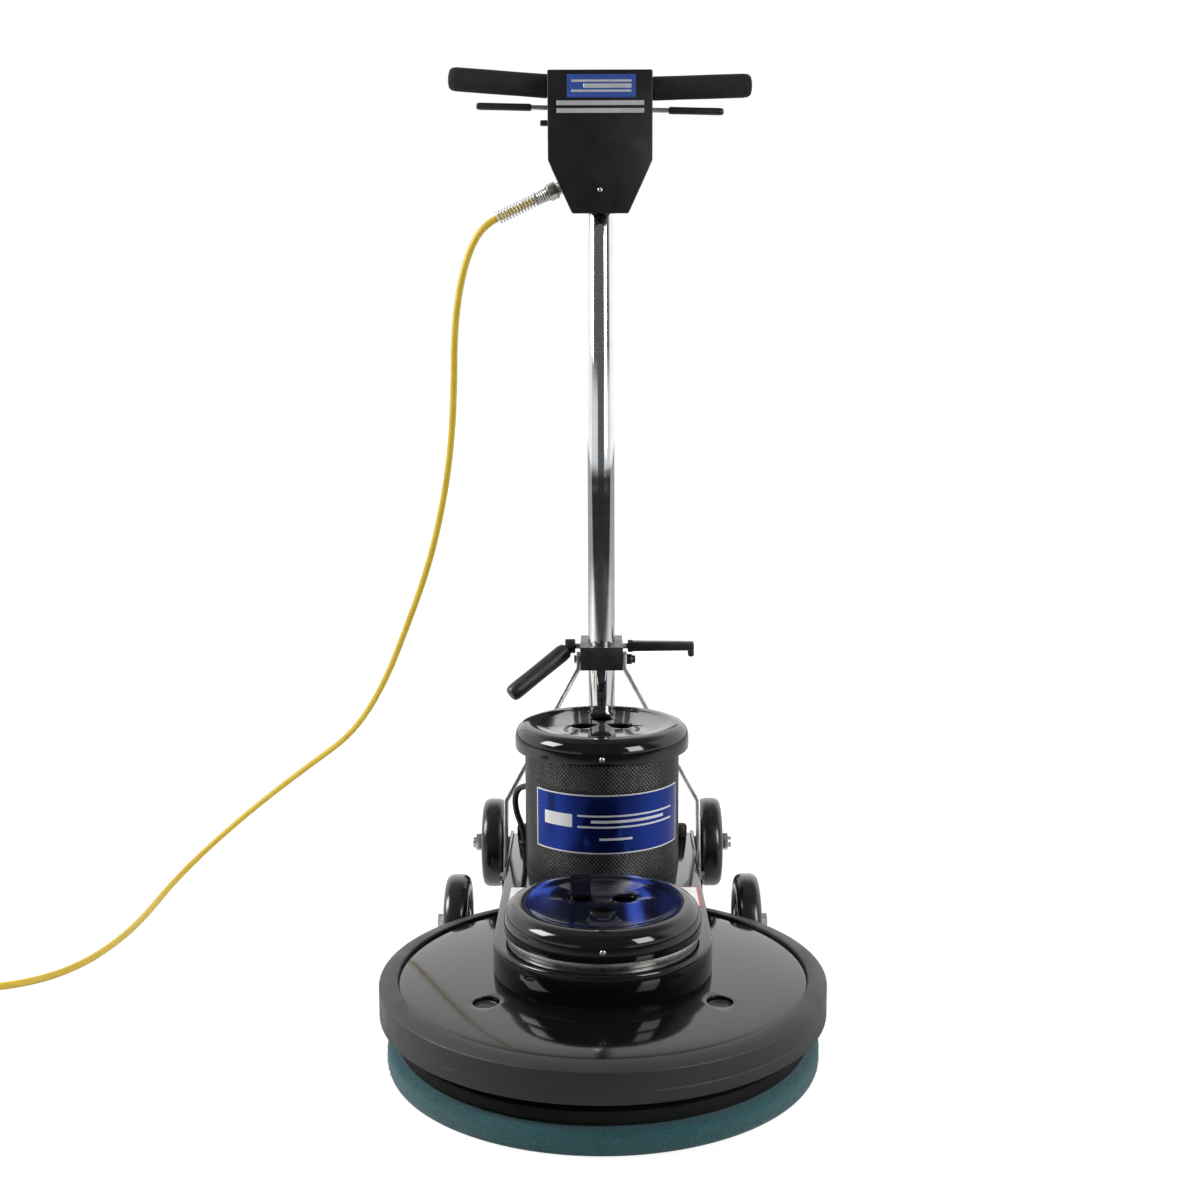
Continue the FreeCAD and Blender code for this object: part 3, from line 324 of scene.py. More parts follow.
# -------------------- coil tie and plug
# A hook-and-loop strap holds the put-away turns together. The plug is a moulded three-blade one, black
# nylon round brass, with a finger grip waisted into its sides.
def spun(name, outline, axis="Z", steps=96):
    """A turned piece: a closed outline of (radius, height) millimetres spun about Z, or about X."""
    piece = started(name, bpy.ops.mesh.primitive_circle_add, vertices=len(outline), radius=1)
    for vertex, (radius, height) in zip(piece.data.vertices, outline):
        vertex.co = (radius * MM, 0, height * MM) if axis == "Z" else (height * MM, 0, radius * MM)
    enter("EDIT", "SELECT")
    bpy.ops.mesh.spin(steps=steps, angle=2 * math.pi, center=(0, 0, 0),
                      axis=(0, 0, 1) if axis == "Z" else (1, 0, 0))
    bpy.ops.mesh.select_all(action="SELECT")
    bpy.ops.mesh.remove_doubles(threshold=0.00002)
    outward()
    return piece


def rounded(piece, width, segments=3, angle=30, smooth=35):
    """Breaks every sharp edge by that many millimetres and shades the piece smooth between them."""
    only(piece)
    edge = piece.modifiers.new("broken_edges", "BEVEL")
    edge.width = width * MM
    edge.segments = segments
    edge.limit_method = "ANGLE"
    edge.angle_limit = math.radians(angle)
    bpy.ops.object.modifier_apply(modifier=edge.name)
    bpy.ops.object.shade_smooth_by_angle(angle=math.radians(smooth))
    return piece


def settle(piece, shift=(0, 0, 0), turn=None):
    """Moves a piece's mesh, in millimetres, and leaves its object at the origin."""
    place = Matrix.Translation([value * MM for value in shift])
    piece.data.transform(place @ turn.to_4x4() if turn else place)
    return piece


def turned(degrees, axis):
    return Matrix.Rotation(math.radians(degrees), 3, axis)


def finish_piece(piece, material, body, slot, *replaced):
    """Gives a piece its material and the body it rides on, and hides the CAD nodes it stands for. The slot
    argument is not used.
    """
    paint(piece, material)
    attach(piece, body)
    if replaced:
        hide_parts(*replaced)
    return piece


def block(name, low, high):
    """A rectangular start for a piece, from its lowest to its highest corner in millimetres."""
    piece = started(name, bpy.ops.mesh.primitive_cube_add, size=1)
    for vertex in piece.data.vertices:
        vertex.co = [(low[k] if vertex.co[k] < 0 else high[k]) * MM for k in range(3)]
    return piece


def joined(name, *pieces):
    """Several pieces made one."""
    bpy.ops.object.select_all(action="DESELECT")
    for piece in pieces:
        piece.select_set(True)
    bpy.context.view_layer.objects.active = pieces[0]
    bpy.ops.object.join()
    pieces[0].name = name
    return pieces[0]


# Injection moulded nylon: deep black, satin, with a very fine spark-eroded texture and worn paler at edges.
moulded = worn(surface("moulded_black_nylon", "#17181A", 0.42, ior=1.53),
               ("#131416", "#202124"), 18, (0.34, 0.5), 0.9, 0.06)
# Woven nylon hook-and-loop tape: matte, with a loop pile of about a millimetre.
tape = worn(surface("hook_and_loop_tape", "#1B1C1E", 0.9, ior=1.5),
            ("#151617", "#2A2B2D"), 6, (0.85, 0.97), 1.1, 0.35)

outer_loop = block("coil_tie_outer", (49.0, -10, 0.02), (121.4, 10, 41.4))
inner_loop = block("coil_tie_inner", (50.1, -20, 0.6), (120.3, 20, 40.6))
rounded(outer_loop, 4, 3)
rounded(inner_loop, 3.4, 3)


def thickened(piece, thickness, side=-1):
    """Gives an open sheet a thickness in millimetres, inward, or half on each side with side 0."""
    sheet = piece.modifiers.new("sheet", "SOLIDIFY")
    sheet.thickness = thickness * MM
    sheet.offset = side
    bpy.ops.object.modifier_apply(modifier=sheet.name)


def carve(piece, *cutters):
    """Cuts the other pieces out of this one."""
    only(piece)
    for cutter in cutters:
        hole = piece.modifiers.new("hole", "BOOLEAN")
        hole.operation = "DIFFERENCE"
        hole.object = cutter
        hole.solver = "EXACT"
        bpy.ops.object.modifier_apply(modifier=hole.name)
        bpy.data.objects.remove(cutter)
    return piece


def cross_head(name, outline, reach, depth_from):
    """A screw head with a cross recess down to this height above its seat."""
    head = spun(name, outline, "Z", 32)
    slot = block(f"{name}_slot", (-reach, -0.4, depth_from), (reach, 0.4, 4))
    cross = block(f"{name}_cross", (-0.4, -reach, depth_from), (0.4, reach, 4))
    return carve(head, slot, cross)


coil_tie = carve(outer_loop, inner_loop)
coil_tie.name = "coil_tie"
settle(coil_tie, (*COIL_CENTRE, 0), turned(-150, "Z"))
finish_piece(coil_tie, tape, "root", "black_plastic")

PLUG = (COIL_CENTRE[0] - 38, COIL_CENTRE[1] - 86, 57)
plug_outline = [(0, 0), (6.6, 0), (7.2, 3), (8.2, 8), (9.0, 14), (11, 20), (15.5, 24), (16.6, 27), (15.2, 33),
                (14.6, 39), (15.2, 45), (16.7, 50), (17, 56), (16.2, 57.8), (0, 58)]
plug_body = spun("plug_body", plug_outline, "X", 48)
rounded(plug_body, 0.5, 2)
settle(plug_body, PLUG)
finish_piece(plug_body, moulded, "root", "black_plastic", "power_plug")
# Nickel plated brass blades: bright, faintly warm, with polishing lines along them.
nickel = worn(surface("nickel_plated_brass", "#CFCBC0", 0.25, metallic=1.0),
              ("#C2BEB2", "#DAD7CE"), 8, (0.2, 0.34), 0.8, 0.02, (1, 6, 6))
blade_near = block("plug_blade_near", (57, -3.2, 5.6), (76, 3.2, 7.2))
blade_far = block("plug_blade_far", (57, -3.2, -7.2), (76, 3.2, -5.6))
ground_pin = spun("plug_ground_pin", [(0, 57), (2.4, 57), (2.4, 77.5), (1.6, 79), (0, 79)], "X", 24)
settle(ground_pin, (0, 10, 0))
plug_pins = rounded(joined("plug_pins", blade_near, blade_far, ground_pin), 0.35, 2)
settle(plug_pins, PLUG)
finish_piece(plug_pins, nickel, "root", "zinc_plate")

# -------------------- floor pad and its driver
# A 20 inch non-woven polyester pad, dyed teal, pressed against a black moulded driver with short barbs.
# It is open, springy fibre, so its edge is soft and a little uneven.
pad_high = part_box("floor_pad")[1]
pad_top = pad_high.z / MM
pad_radius = pad_high.x / MM
pad = spun("floor_pad_fibre", [(0, 0), (60, 0), (120, 0), (180, 0), (225, 0), (246, 0.2), (251.5, 1.8),
                               (pad_radius, 6), (pad_radius, 11), (pad_radius - 0.4, 16), (pad_radius, 21),
                               (252.5, 26), (248, pad_top), (180, pad_top), (60, pad_top), (0, pad_top)],
           "Z", 320)
only(pad)
tufts = bpy.data.textures.new("pad_tufts", "CLOUDS")
tufts.noise_scale = 5 * MM
lumps = pad.modifiers.new("fibre_lumps", "DISPLACE")
lumps.texture = tufts
lumps.texture_coords = "LOCAL"
lumps.strength = 2.2 * MM
lumps.mid_level = 1.0
edge_group = pad.vertex_groups.new(name="edge")
edge_group.add([v.index for v in pad.data.vertices
                if v.co.z > 2 * MM and v.co.to_2d().length > 0.95 * pad_radius * MM], 1.0, "REPLACE")
lumps.vertex_group = "edge"
bpy.ops.object.modifier_apply(modifier=lumps.name)
bpy.ops.object.shade_smooth()
# Non-woven polyester, needled and resin bonded: fully matte, crossed by fibres of about half a millimetre,
# here drawn at two, with lighter dust in the open spots.
fibre, fibre_tree, fibre_shader = surface("bonded_polyester_fibre", "#1F5558", 0.95, ior=1.45)
fibre_place = add_node(fibre_tree, "TexCoord").outputs["Object"]
strands = add_node(fibre_tree, "TexNoise", {"Vector": fibre_place, "Scale": 1 / (2.2 * MM), "Detail": 5.0,
                                            "Distortion": 1.5})
patches = add_node(fibre_tree, "TexNoise", {"Vector": fibre_place, "Scale": 1 / (30 * MM), "Detail": 3.0})
strand_tone = add_node(fibre_tree, "MapRange", {"Value": strands, "From Min": 0.35,
                                                "From Max": 0.65})
strand_colour = add_node(fibre_tree, "MixRGB", {"Fac": strand_tone,
                                                "Color1": linear("#0F3338"), "Color2": linear("#34696B")})
dusted = add_node(fibre_tree, "MixRGB", {"Fac": patches, "Color1": strand_colour,
                                         "Color2": linear("#23525A")})
fibre_bump = add_node(fibre_tree, "Bump", {"Height": strands, "Strength": 1.0,
                                           "Distance": 1.2 * MM})
fibre_tree.links.new(dusted.outputs["Color"], fibre_shader.inputs["Base Color"])
fibre_tree.links.new(fibre_bump.outputs["Normal"], fibre_shader.inputs["Normal"])
fibre_shader.inputs["Sheen Weight"].default_value = 0.25
finish_piece(pad, fibre, "pad_drive", "fibre_pad", "floor_pad")

DRIVER_RIM = 13
driver_low, driver_top = (corner.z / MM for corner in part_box("pad_driver"))
driver_rim = driver_low + DRIVER_RIM
driver = spun("pad_driver_moulding", [(0, driver_low), (243, driver_low), (243, driver_rim),
                                      (200, driver_rim), (196, driver_rim - 3), (70, driver_rim - 3),
                                      (66, driver_rim), (52, driver_rim), (52, driver_top),
                                      (0, driver_top)], "Z", 160)
rounded(driver, 1.6, 2)
# Polypropylene, moulded, matte from pad dust. Its colour is darker than black plastic itself: painted shade
# for the gap under the bumper.
driver_black_and_painted_shade = worn(surface("moulded_polypropylene_darkened_as_shade", "#060607", 0.75, ior=1.35),
                    ("#040405", "#09090A"), 40, (0.68, 0.85), 1.5, 0.1)
finish_piece(driver, driver_black_and_painted_shade, "pad_drive", "pad_driver_plastic", "pad_driver")

# -------------------- deck
# A spun steel dome, stove enamelled in high gloss black, with two round access holes closed by plugs
# that sit a little below the surface.
deck_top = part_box("deck")[1].z / MM
DECK_RADIUS, HOLE_RADIUS = 238.5, 15
DECK_HOLES = [(side * 129.5, -105, 0) for side in (-1, 1)]
dome_outline = [(34, deck_top), (140, deck_top - 0.6), (188, deck_top - 3.6), (214, deck_top - 5.9),
                (230, deck_top - 7.8), (DECK_RADIUS, 98), (DECK_RADIUS, 66), (234.5, 66), (234.5, 94),
                (188, deck_top - 7.6), (140, deck_top - 4.6), (34, deck_top - 4)]
dome = spun("deck_dome", dome_outline, "Z", 192)
plug_holes = []
for hole_place in DECK_HOLES:
    cutter = spun("plug_cutter", [(0, 80), (HOLE_RADIUS, 80), (HOLE_RADIUS, 120), (0, 120)], "Z", 48)
    plug_holes.append(settle(cutter, hole_place))
carve(dome, *plug_holes)
rounded(dome, 0.9, 3, 40)
# Stove enamel on steel: a deep glossy black, hard and smooth, with a faint long-wave flow (orange peel) of
# about 9 mm and patches of polishing haze.
enamel = worn(surface("gloss_black_stove_enamel", "#0B0B0C", 0.07, ior=1.52),
              ("#09090A", "#111113"), 90, (0.05, 0.11), 9, 0.03)
finish_piece(dome, enamel, "root", "gloss_black_enamel", "deck")

plug_pieces = []
for hole_place in DECK_HOLES:
    button = spun("deck_plug", [(0, 97), (14.4, 97), (14.4, 101.4), (12.4, 102), (11.2, 100.6), (0, 100.9)],
                  "Z", 48)
    plug_pieces.append(settle(button, hole_place))
deck_plugs = rounded(joined("deck_plug_buttons", *plug_pieces), 0.4, 2)
finish_piece(deck_plugs, moulded, "root", "black_plastic", "deck_plugs")

# -------------------- bumper
# A moulded rubber ring stretched round the deck's skirt. Its outer face has a shallow line at mid height
# and generous rounded rims; the rubber is dull, with a slight bloom.
bumper = spun("bumper_ring", [(238.6, 66), (244, 61), (261.2, 61), (261.2, 74.2), (260.3, 76), (261.2, 77.8),
                              (261.2, 96.5), (249, 101), (240.5, 101.6), (238.6, 100.4)], "Z", 192)
rounded(bumper, 2.6, 4, 20, 60)
rubber = worn(surface("moulded_neoprene_rubber", "#242322", 0.5, ior=1.52),
              ("#1E1D1D", "#2A2928"), 35, (0.42, 0.56), 1.2, 0.08)
finish_piece(bumper, rubber, "root", "bumper_rubber", "bumper")

# -------------------- belt housing
# A pressed steel box, round at the front, with a folded rounded top edge, in the same gloss enamel.
HOUSING_HALF, housing_rear, housing_top = (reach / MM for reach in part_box("belt_housing")[1])
HOUSING_SKIRT = 99
housing = started("belt_housing_pressing", bpy.ops.mesh.primitive_circle_add, vertices=160,
                  radius=HOUSING_HALF * MM)
choose(housing.data.vertices, lambda vertex: vertex.co.y > 0.0001)
bpy.ops.mesh.delete(type="VERT")
enter("OBJECT")
for vertex in housing.data.vertices:
    vertex.co.z = HOUSING_SKIRT * MM
choose(housing.data.vertices, lambda vertex: vertex.co.y > -0.0001)
bpy.ops.mesh.extrude_vertices_move(TRANSFORM_OT_translate={"value": (0, housing_rear * MM, 0)})
bpy.ops.mesh.edge_face_add()
bpy.ops.mesh.select_all(action="SELECT")
bpy.ops.mesh.edge_face_add()
bpy.ops.mesh.extrude_region_move(TRANSFORM_OT_translate={"value": (0, 0, (housing_top - HOUSING_SKIRT) * MM)})
outward()
choose(housing.data.polygons, lambda face: face.normal.z < -0.9)
bpy.ops.mesh.delete(type="FACE")
enter("OBJECT")
rounded(housing, 3.2, 4, 50, 40)
thickened(housing, 2.5)
finish_piece(housing, enamel, "root", "gloss_black_enamel", "belt_housing")

ring_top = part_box("cover_ring")[1].z / MM
ring = spun("cover_ring_band", [(109.5, housing_top), (112.5, housing_top), (112.5, ring_top),
                                (109.5, ring_top)], "Z", 160)
rounded(ring, 0.6, 2)
# Plated steel ring: mid grey, satin, with circular turning marks.
plated = worn(surface("zinc_plated_steel", "#BDBDB9", 0.3, metallic=1.0),
              ("#A8A8A4", "#D2D2CE"), 9, (0.22, 0.4), 0.8, 0.02)
finish_piece(ring, plated, "root", "zinc_plate", "cover_ring")

# -------------------- spindle cover and motor cap
# Two identical spun caps with a fat rolled shoulder, a dished top and three finger holes, in gloss enamel.
COVER_RADIUS, HOLE_REACH = 115.5, 30
COVER_OUTLINE = [(0, 29.6), (40, 29.8), (78, 30.4), (88, 31.6), (94.5, 33), (101.5, 32.6), (107.5, 30.2),
                 (112, 26), (114.6, 20.4), (COVER_RADIUS, 14), (COVER_RADIUS, 2.2), (114.9, 0), (112.6, 0),
                 (112.6, 14), (110, 23), (101, 29.4), (94, 29.9), (78, 27.4), (0, 26.6)]


def round_cover(name, y, z, first_hole, node):
    """One cap with its middle at this y and its rim at this height, its first finger hole at this angle."""
    cover = spun(name, COVER_OUTLINE, "Z", 160)
    cutters = []
    for number in range(3):
        angle = math.radians(first_hole + 120 * number)
        cutter = spun("finger_hole", [(0, 10), (HOLE_RADIUS, 10), (HOLE_RADIUS, 50), (0, 50)], "Z", 48)
        cutters.append(settle(cutter, (HOLE_REACH * math.cos(angle), HOLE_REACH * math.sin(angle), 0)))
    carve(cover, *cutters)
    rounded(cover, 0.8, 3, 45, 50)
    settle(cover, (0, y, z))
    return finish_piece(cover, enamel, "root", "gloss_black_enamel", node)


MOTOR_Y = 268
cap_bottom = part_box("motor_cap")[0].z / MM
round_cover("spindle_cover_pressing", 0, ring_top, -90, "spindle_cover")
round_cover("motor_cap_pressing", MOTOR_Y, cap_bottom, 90, "motor_cap")

screws = []
for number, (y, z) in enumerate(((0, ring_top + 13), (MOTOR_Y, cap_bottom + 9))):
    dome_head = cross_head(f"screw{number}", [(0, 0), (3.6, 0), (3.4, 1.0), (2.6, 1.8), (1.2, 2.2),
                                              (0, 2.25)], 2.4, 1.3)
    rounded(dome_head, 0.1, 1)
    screws.append(settle(dome_head, (0, y - COVER_RADIUS, z), turned(90, "X")))
cover_screws = joined("cover_screw_heads", *screws)
finish_piece(cover_screws, plated, "root", "zinc_plate", "cover_screws")

# -------------------- motor shroud
# A sleeve of perforated sheet steel, satin black, that stands off the motor's bright barrel and lets the
# cooling air in. The holes are staggered; they are drawn a little larger than the real 2.5 mm.
shroud_low, shroud_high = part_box("motor_shroud")
SHROUD_RADIUS = shroud_high.x / MM
COLUMNS, ROWS, HOLE_MARGIN = 120, 30, 0.72
shroud = started("perforated_shroud", bpy.ops.mesh.primitive_grid_add, x_subdivisions=COLUMNS,
                 y_subdivisions=ROWS, size=2)
enter("EDIT", "SELECT")
bpy.ops.mesh.poke()


def inner_grid_line(edge):
    """True for the edges of the grid itself, but not along its border or across its cells."""
    start, end = (shroud.data.vertices[index].co for index in edge.vertices)
    along_border = any(abs(start[axis]) > 0.999 and abs(end[axis]) > 0.999 for axis in (0, 1))
    straight = abs(start.x - end.x) < 0.0001 or abs(start.y - end.y) < 0.0001
    return straight and not along_border


choose(shroud.data.edges, inner_grid_line)
bpy.ops.mesh.select_mode(type="EDGE")
bpy.ops.mesh.dissolve_edges(use_verts=False)
bpy.ops.mesh.select_mode(type="VERT")
enter("OBJECT")
for vertex in shroud.data.vertices:
    angle = math.pi * vertex.co.x
    height = shroud_low.z + (vertex.co.y + 1) / 2 * (shroud_high.z - shroud_low.z)
    vertex.co = (SHROUD_RADIUS * MM * math.cos(angle), SHROUD_RADIUS * MM * math.sin(angle), height)
enter("EDIT", "SELECT")
bpy.ops.mesh.remove_doubles(threshold=0.0002)
bpy.ops.mesh.select_mode(type="FACE")
choose(shroud.data.polygons, lambda face: len(face.vertices) == 4 and face.center.z < cap_bottom * MM)
bpy.ops.mesh.inset(thickness=HOLE_MARGIN * MM, use_individual=True)
bpy.ops.mesh.delete(type="FACE")
bpy.ops.mesh.select_mode(type="VERT")
outward()
thickened(shroud, 1.0)
settle(shroud, (0, MOTOR_Y, 0))
# Perforated mild steel in satin black enamel; the paint is thin and catches light on the punched rims.
satin = worn(surface("satin_black_enamel", "#141416", 0.3, ior=1.52),
             ("#101012", "#1C1D1F"), 22, (0.26, 0.4), 1.0, 0.03)
finish_piece(shroud, satin, "root", "shroud_paint", "motor_shroud")
# The motor's barrel: deep drawn steel, bright, with drawing lines that run up and down.
barrel_steel = worn(surface("drawn_bright_steel", "#DADBDC", 0.42, metallic=1.0),
                    ("#C6C7C8", "#E8E9EA"), 12, (0.34, 0.5), 1.4, 0.03, (1, 1, 0.12))
paint(nodes["motor_case"], barrel_steel)

# -------------------- labels
# Stuck-on foil and film: a blue wrap on the shroud with a silver border and plain bands, a blue plate with
# three plain bars on the head and two bars below it, and two blank white plates on the belt housing.
FOIL_THICKNESS = 0.12
LABEL_LEFT, LABEL_RIGHT, LABEL_LOW, LABEL_HIGH = -55.5, 70.0, 188.0, 265.5
foil_blue = worn(surface("blue_printed_foil", "#1E3384", 0.17, metallic=0.92),
                 ("#1C317E", "#22398C"), 20, (0.15, 0.2), 0.6, 0.002)
foil_silver = worn(surface("silver_printed_foil", "#DCDEE0", 0.3, metallic=0.6),
                   ("#D4D6D9", "#E4E5E7"), 12, (0.28, 0.36), 0.6, 0.004)
blue_film = worn(surface("blue_vinyl_film", "#2C4A97", 0.35, coat=0.3),
                 ("#27438A", "#3454A4"), 14, (0.3, 0.4), 0.8, 0.01)
white_film = worn(surface("white_vinyl_film", "#EDEDEA", 0.35, coat=0.3),
                  ("#E2E2DE", "#F4F4F2"), 14, (0.3, 0.42), 0.8, 0.01)
red_film = worn(surface("red_vinyl_film", "#B5332F", 0.38, coat=0.3),
                ("#A32A28", "#C24038"), 14, (0.32, 0.44), 0.8, 0.01)


def wrapped(name, low, high, left, right, lift):
    """A sheet wrapped round the shroud between two heights in millimetres and two angles from the front."""
    piece = started(name, bpy.ops.mesh.primitive_grid_add, x_subdivisions=48, y_subdivisions=2, size=2)
    for vertex in piece.data.vertices:
        angle = math.radians(left + (vertex.co.x + 1) / 2 * (right - left))
        reach = (SHROUD_RADIUS + lift) * MM
        height = low + (vertex.co.y + 1) / 2 * (high - low)
        vertex.co = (reach * math.sin(angle), -reach * math.cos(angle), height * MM)
    thickened(piece, FOIL_THICKNESS, 0)
    bpy.ops.object.shade_smooth_by_angle(angle=math.radians(35))
    return settle(piece, (0, MOTOR_Y, 0))


label_border = wrapped("shroud_label_border", LABEL_LOW, LABEL_HIGH, LABEL_LEFT, LABEL_RIGHT, 0.15)
finish_piece(label_border, foil_silver, "root", "zinc_plate")
label_field = wrapped("shroud_label_field", LABEL_LOW + 1.8, LABEL_HIGH - 1.8,
                      LABEL_LEFT + 1.1, LABEL_RIGHT - 1.1, 0.3)
finish_piece(label_field, foil_blue, "root", "shroud_paint")
bands = []
for number, (left, right, low, high) in enumerate(((-46, -22, 222, 239), (-18, 60, 236.6, 239),
                                                   (-18, 60, 222, 224.4), (-8, 50, 228.7, 232.3),
                                                   (-2, 22, 206, 209))):
    bands.append(wrapped(f"label_band{number}", low, high, left, right, 0.45))
label_bands = joined("shroud_label_bands", *bands)
finish_piece(label_bands, foil_silver, "root", "zinc_plate")

left_plate = rounded(block("housing_label_left", (-117, 102, housing_top), (-86, 166, housing_top + 0.35)),
                     0.1, 1)
finish_piece(left_plate, white_film, "root", "gloss_black_enamel")
right_edge = rounded(block("housing_label_right_edge", (80, 93, housing_top),
                           (123, 168, housing_top + 0.3)), 0.1, 1)
finish_piece(right_edge, red_film, "root", "gloss_black_enamel")
right_plate = block("housing_label_right", (83, 96, housing_top + 0.1), (120, 165, housing_top + 0.5))
finish_piece(rounded(right_plate, 0.1, 1), white_film, "root", "gloss_black_enamel")

# -------------------- motor lead
# Black rubber supply lead: out of the shroud's side and down into the belt housing, with a rubber grommet
# where it enters the sheet.
LEAD_RADIUS = 4.2
lead_route = [(-92.5, 320, 236), (-111, 339, 233), (-122, 352, 216), (-121, 358, 190), (-112, 359, 166),
              (-109, 359, 145.5)]
lead = as_tube(nurbs_line("motor_lead_cable", lead_route), LEAD_RADIUS * MM, 4)
lead_rubber = worn(surface("black_rubber_sheath", "#1A1A1C", 0.55, ior=1.5),
                   ("#141415", "#242427"), 10, (0.45, 0.62), 0.8, 0.05)
finish_piece(lead, lead_rubber, "root", "black_plastic", "motor_lead")
grommet = spun("motor_lead_grommet", [(4.3, 143.6), (8.4, 143.6), (8.4, 146), (6.6, 147.6), (4.3, 147.8)],
               "Z", 32)
settle(grommet, (-109, 359, 0))
finish_piece(rounded(grommet, 0.4, 2), lead_rubber, "root", "black_plastic")


# -------------------- side plates and struts
# Laser cut plates in gloss enamel carry axle, struts and wheels. The struts are bright plated flat bar,
# bent twice. Their own shapes are kept, with every edge broken as the press and the polish leave them.
def edge_broken(node, name, width, material, body, slot, segments=2):
    """A finished piece with a CAD node's own shape: doubles merged, flats joined, edges rounded."""
    piece = placed(name, nodes[node].data.copy())
    only(piece)
    enter("EDIT", "SELECT")
    bpy.ops.mesh.remove_doubles(threshold=0.00001)
    bpy.ops.mesh.dissolve_limited(angle_limit=math.radians(0.6))
    enter("OBJECT")
    return finish_piece(rounded(piece, width, segments), material, body, slot, node)


for side in ("left", "right"):
    edge_broken(f"{side}_side_plate", f"{side}_frame_plate", 0.7, enamel, "root", "gloss_black_enamel")
# Cold drawn flat bar, nickel plated: bright, with long drawing lines and dull patches from handling.
strut_steel = worn(surface("nickel_plated_flat_bar", "#C6C6C6", 0.36, metallic=1.0),
                   ("#B0B0B1", "#DADADB"), 25, (0.28, 0.44), 1.2, 0.02, (3, 3, 0.3))
for side in ("left", "right"):
    edge_broken(f"{side}_strut", f"{side}_strut_bar", 0.8, strut_steel, "struts", "bright_steel")

# -------------------- axle and frame fasteners
# Zinc plated bar, nuts, washers and shoulder bolts: pale grey with a faint yellow cast and crystal patches.
for node, name in (("rear_axle", "rear_axle_bar"), ("frame_fasteners", "frame_nuts_and_bolts")):
    edge_broken(node, name, 0.5, plated, "root", "zinc_plate")

# -------------------- wheels
# Five inch transport wheels of hard glossy black rubber, with rounded shoulders, on a moulded hub with a
# raised rim line and a thinner web with five ribs.
tyre_rubber = worn(surface("hard_polished_rubber", "#141415", 0.22, coat=0.35, coat_roughness=0.12, ior=1.52),
                   ("#101011", "#1E1E20"), 22, (0.18, 0.34), 1.6, 0.04)
AXLE_Y = 435
WHEELS = (("upper_left", -156.3, AXLE_Y, 121.3, 8.05), ("upper_right", 156.3, AXLE_Y, 121.3, 8.05),
          ("lower_left", -194.5, 262, 63.5, 6.05), ("lower_right", 194.5, 262, 63.5, 6.05))
for place, x, y, z, bore in WHEELS:
    tread = spun(f"{place}_tyre", [(43, -14.6), (45.5, -15.6), (53, -16), (58.5, -14.6), (62, -11.4),
                                   (63.5, -6), (63.5, 6), (62, 11.4), (58.5, 14.6), (53, 16), (45.5, 15.6),
                                   (43, 14.6)], "X", 96)
    bpy.ops.object.shade_smooth()
    hub = spun(f"{place}_hub", [(bore, -16), (15.5, -16), (17, -15), (18.5, -6.5), (37, -6.5), (39.5, -13.4),
                                (43.1, -14), (43.1, 14), (39.5, 13.4), (37, 6.5), (18.5, 6.5), (17, 15),
                                (15.5, 16), (bore, 16)], "X", 96)
    rounded(hub, 0.8, 2)
    ribs = []
    for number in range(5):
        rib = block(f"{place}_rib{number}", (-12, -2, 16), (12, 2, 40))
        ribs.append(settle(rib, (0, 0, 0), turned(72 * number, "X")))
    ribs = rounded(joined(f"{place}_ribs", *ribs), 0.8, 2)
    wheel = joined(f"{place}_wheel_moulding", tread, hub, ribs)
    settle(wheel, (x, y, z))
    finish_piece(wheel, tyre_rubber, f"{place}_roller", "wheel_rubber", f"{place}_wheel")

# -------------------- rubber stops
# Two moulded stops on studs, where the handle's yoke comes down.
posts = []
for side in (-1, 1):
    post = spun(f"stop_post{side}", [(0, 0), (7.2, 0), (8, 1.5), (8, 15), (6.6, 18), (3.6, 19), (0, 19)],
                "Z", 40)
    posts.append(settle(post, (side * 113, 388, housing_top)))
stop_posts = rounded(joined("rubber_stops", *posts), 0.5, 2)
finish_piece(stop_posts, rubber, "root", "black_plastic", "stop_posts")

# -------------------- handle yoke and tube
# A welded cross tube in gloss enamel turns on the axle; its socket holds a 1.5 inch steel tube, polished
# and chrome plated.
edge_broken("handle_yoke", "yoke_weldment", 0.8, enamel, "handle", "gloss_black_enamel")
tube_low, tube_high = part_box("handle_tube")
tube = spun("handle_tube_chromed", [(17.25, tube_low.z / MM), (19.05, tube_low.z / MM),
                                    (19.05, tube_high.z / MM), (17.25, tube_high.z / MM)], "Z", 96)
rounded(tube, 0.4, 2)
settle(tube, (0, AXLE_Y, 0))
# Decorative chromium over nickel: a mirror, very slightly blue, with fine rings left by the polishing belt.
chrome = worn(surface("polished_chromium_plate", "#D6D9DC", 0.05, metallic=1.0),
              ("#CBCED2", "#E2E4E6"), 60, (0.04, 0.1), 6, 0.001, (1, 1, 4))
finish_piece(tube, chrome, "handle", "chrome_tube", "handle_tube")

# -------------------- clamp, its bolts, lever and cord hook
# A cast clamp, enamelled dark grey, slides on the tube; the lever on its lock bolt tightens it. The cord
# hook is a flat nylon arm with a turned-down tip.
LOCK_BOLT = (0, 460, 407.5)
casting = worn(surface("enamelled_casting", "#1C1D1E", 0.4, ior=1.52),
               ("#171819", "#232425"), 14, (0.32, 0.46), 1.6, 0.08)
edge_broken("clamp_block", "clamp_casting", 1.6, casting, "clamp", "clamp_casting", 3)
edge_broken("clamp_bolts", "clamp_bolt_set", 0.4, plated, "clamp", "zinc_plate")
ribbed_nut = spun("ribbed_nut_cover", [(4.0, 36.6), (7.6, 36.6), (7.6, 43.8), (5.8, 44.6), (5.8, 48),
                                       (4.6, 49.2), (0, 49.2), (0, 48.4), (4.0, 48.2)], "X", 48)
settle(rounded(ribbed_nut, 0.4, 2), (0, 460, 388))
finish_piece(ribbed_nut, moulded, "clamp", "black_plastic")

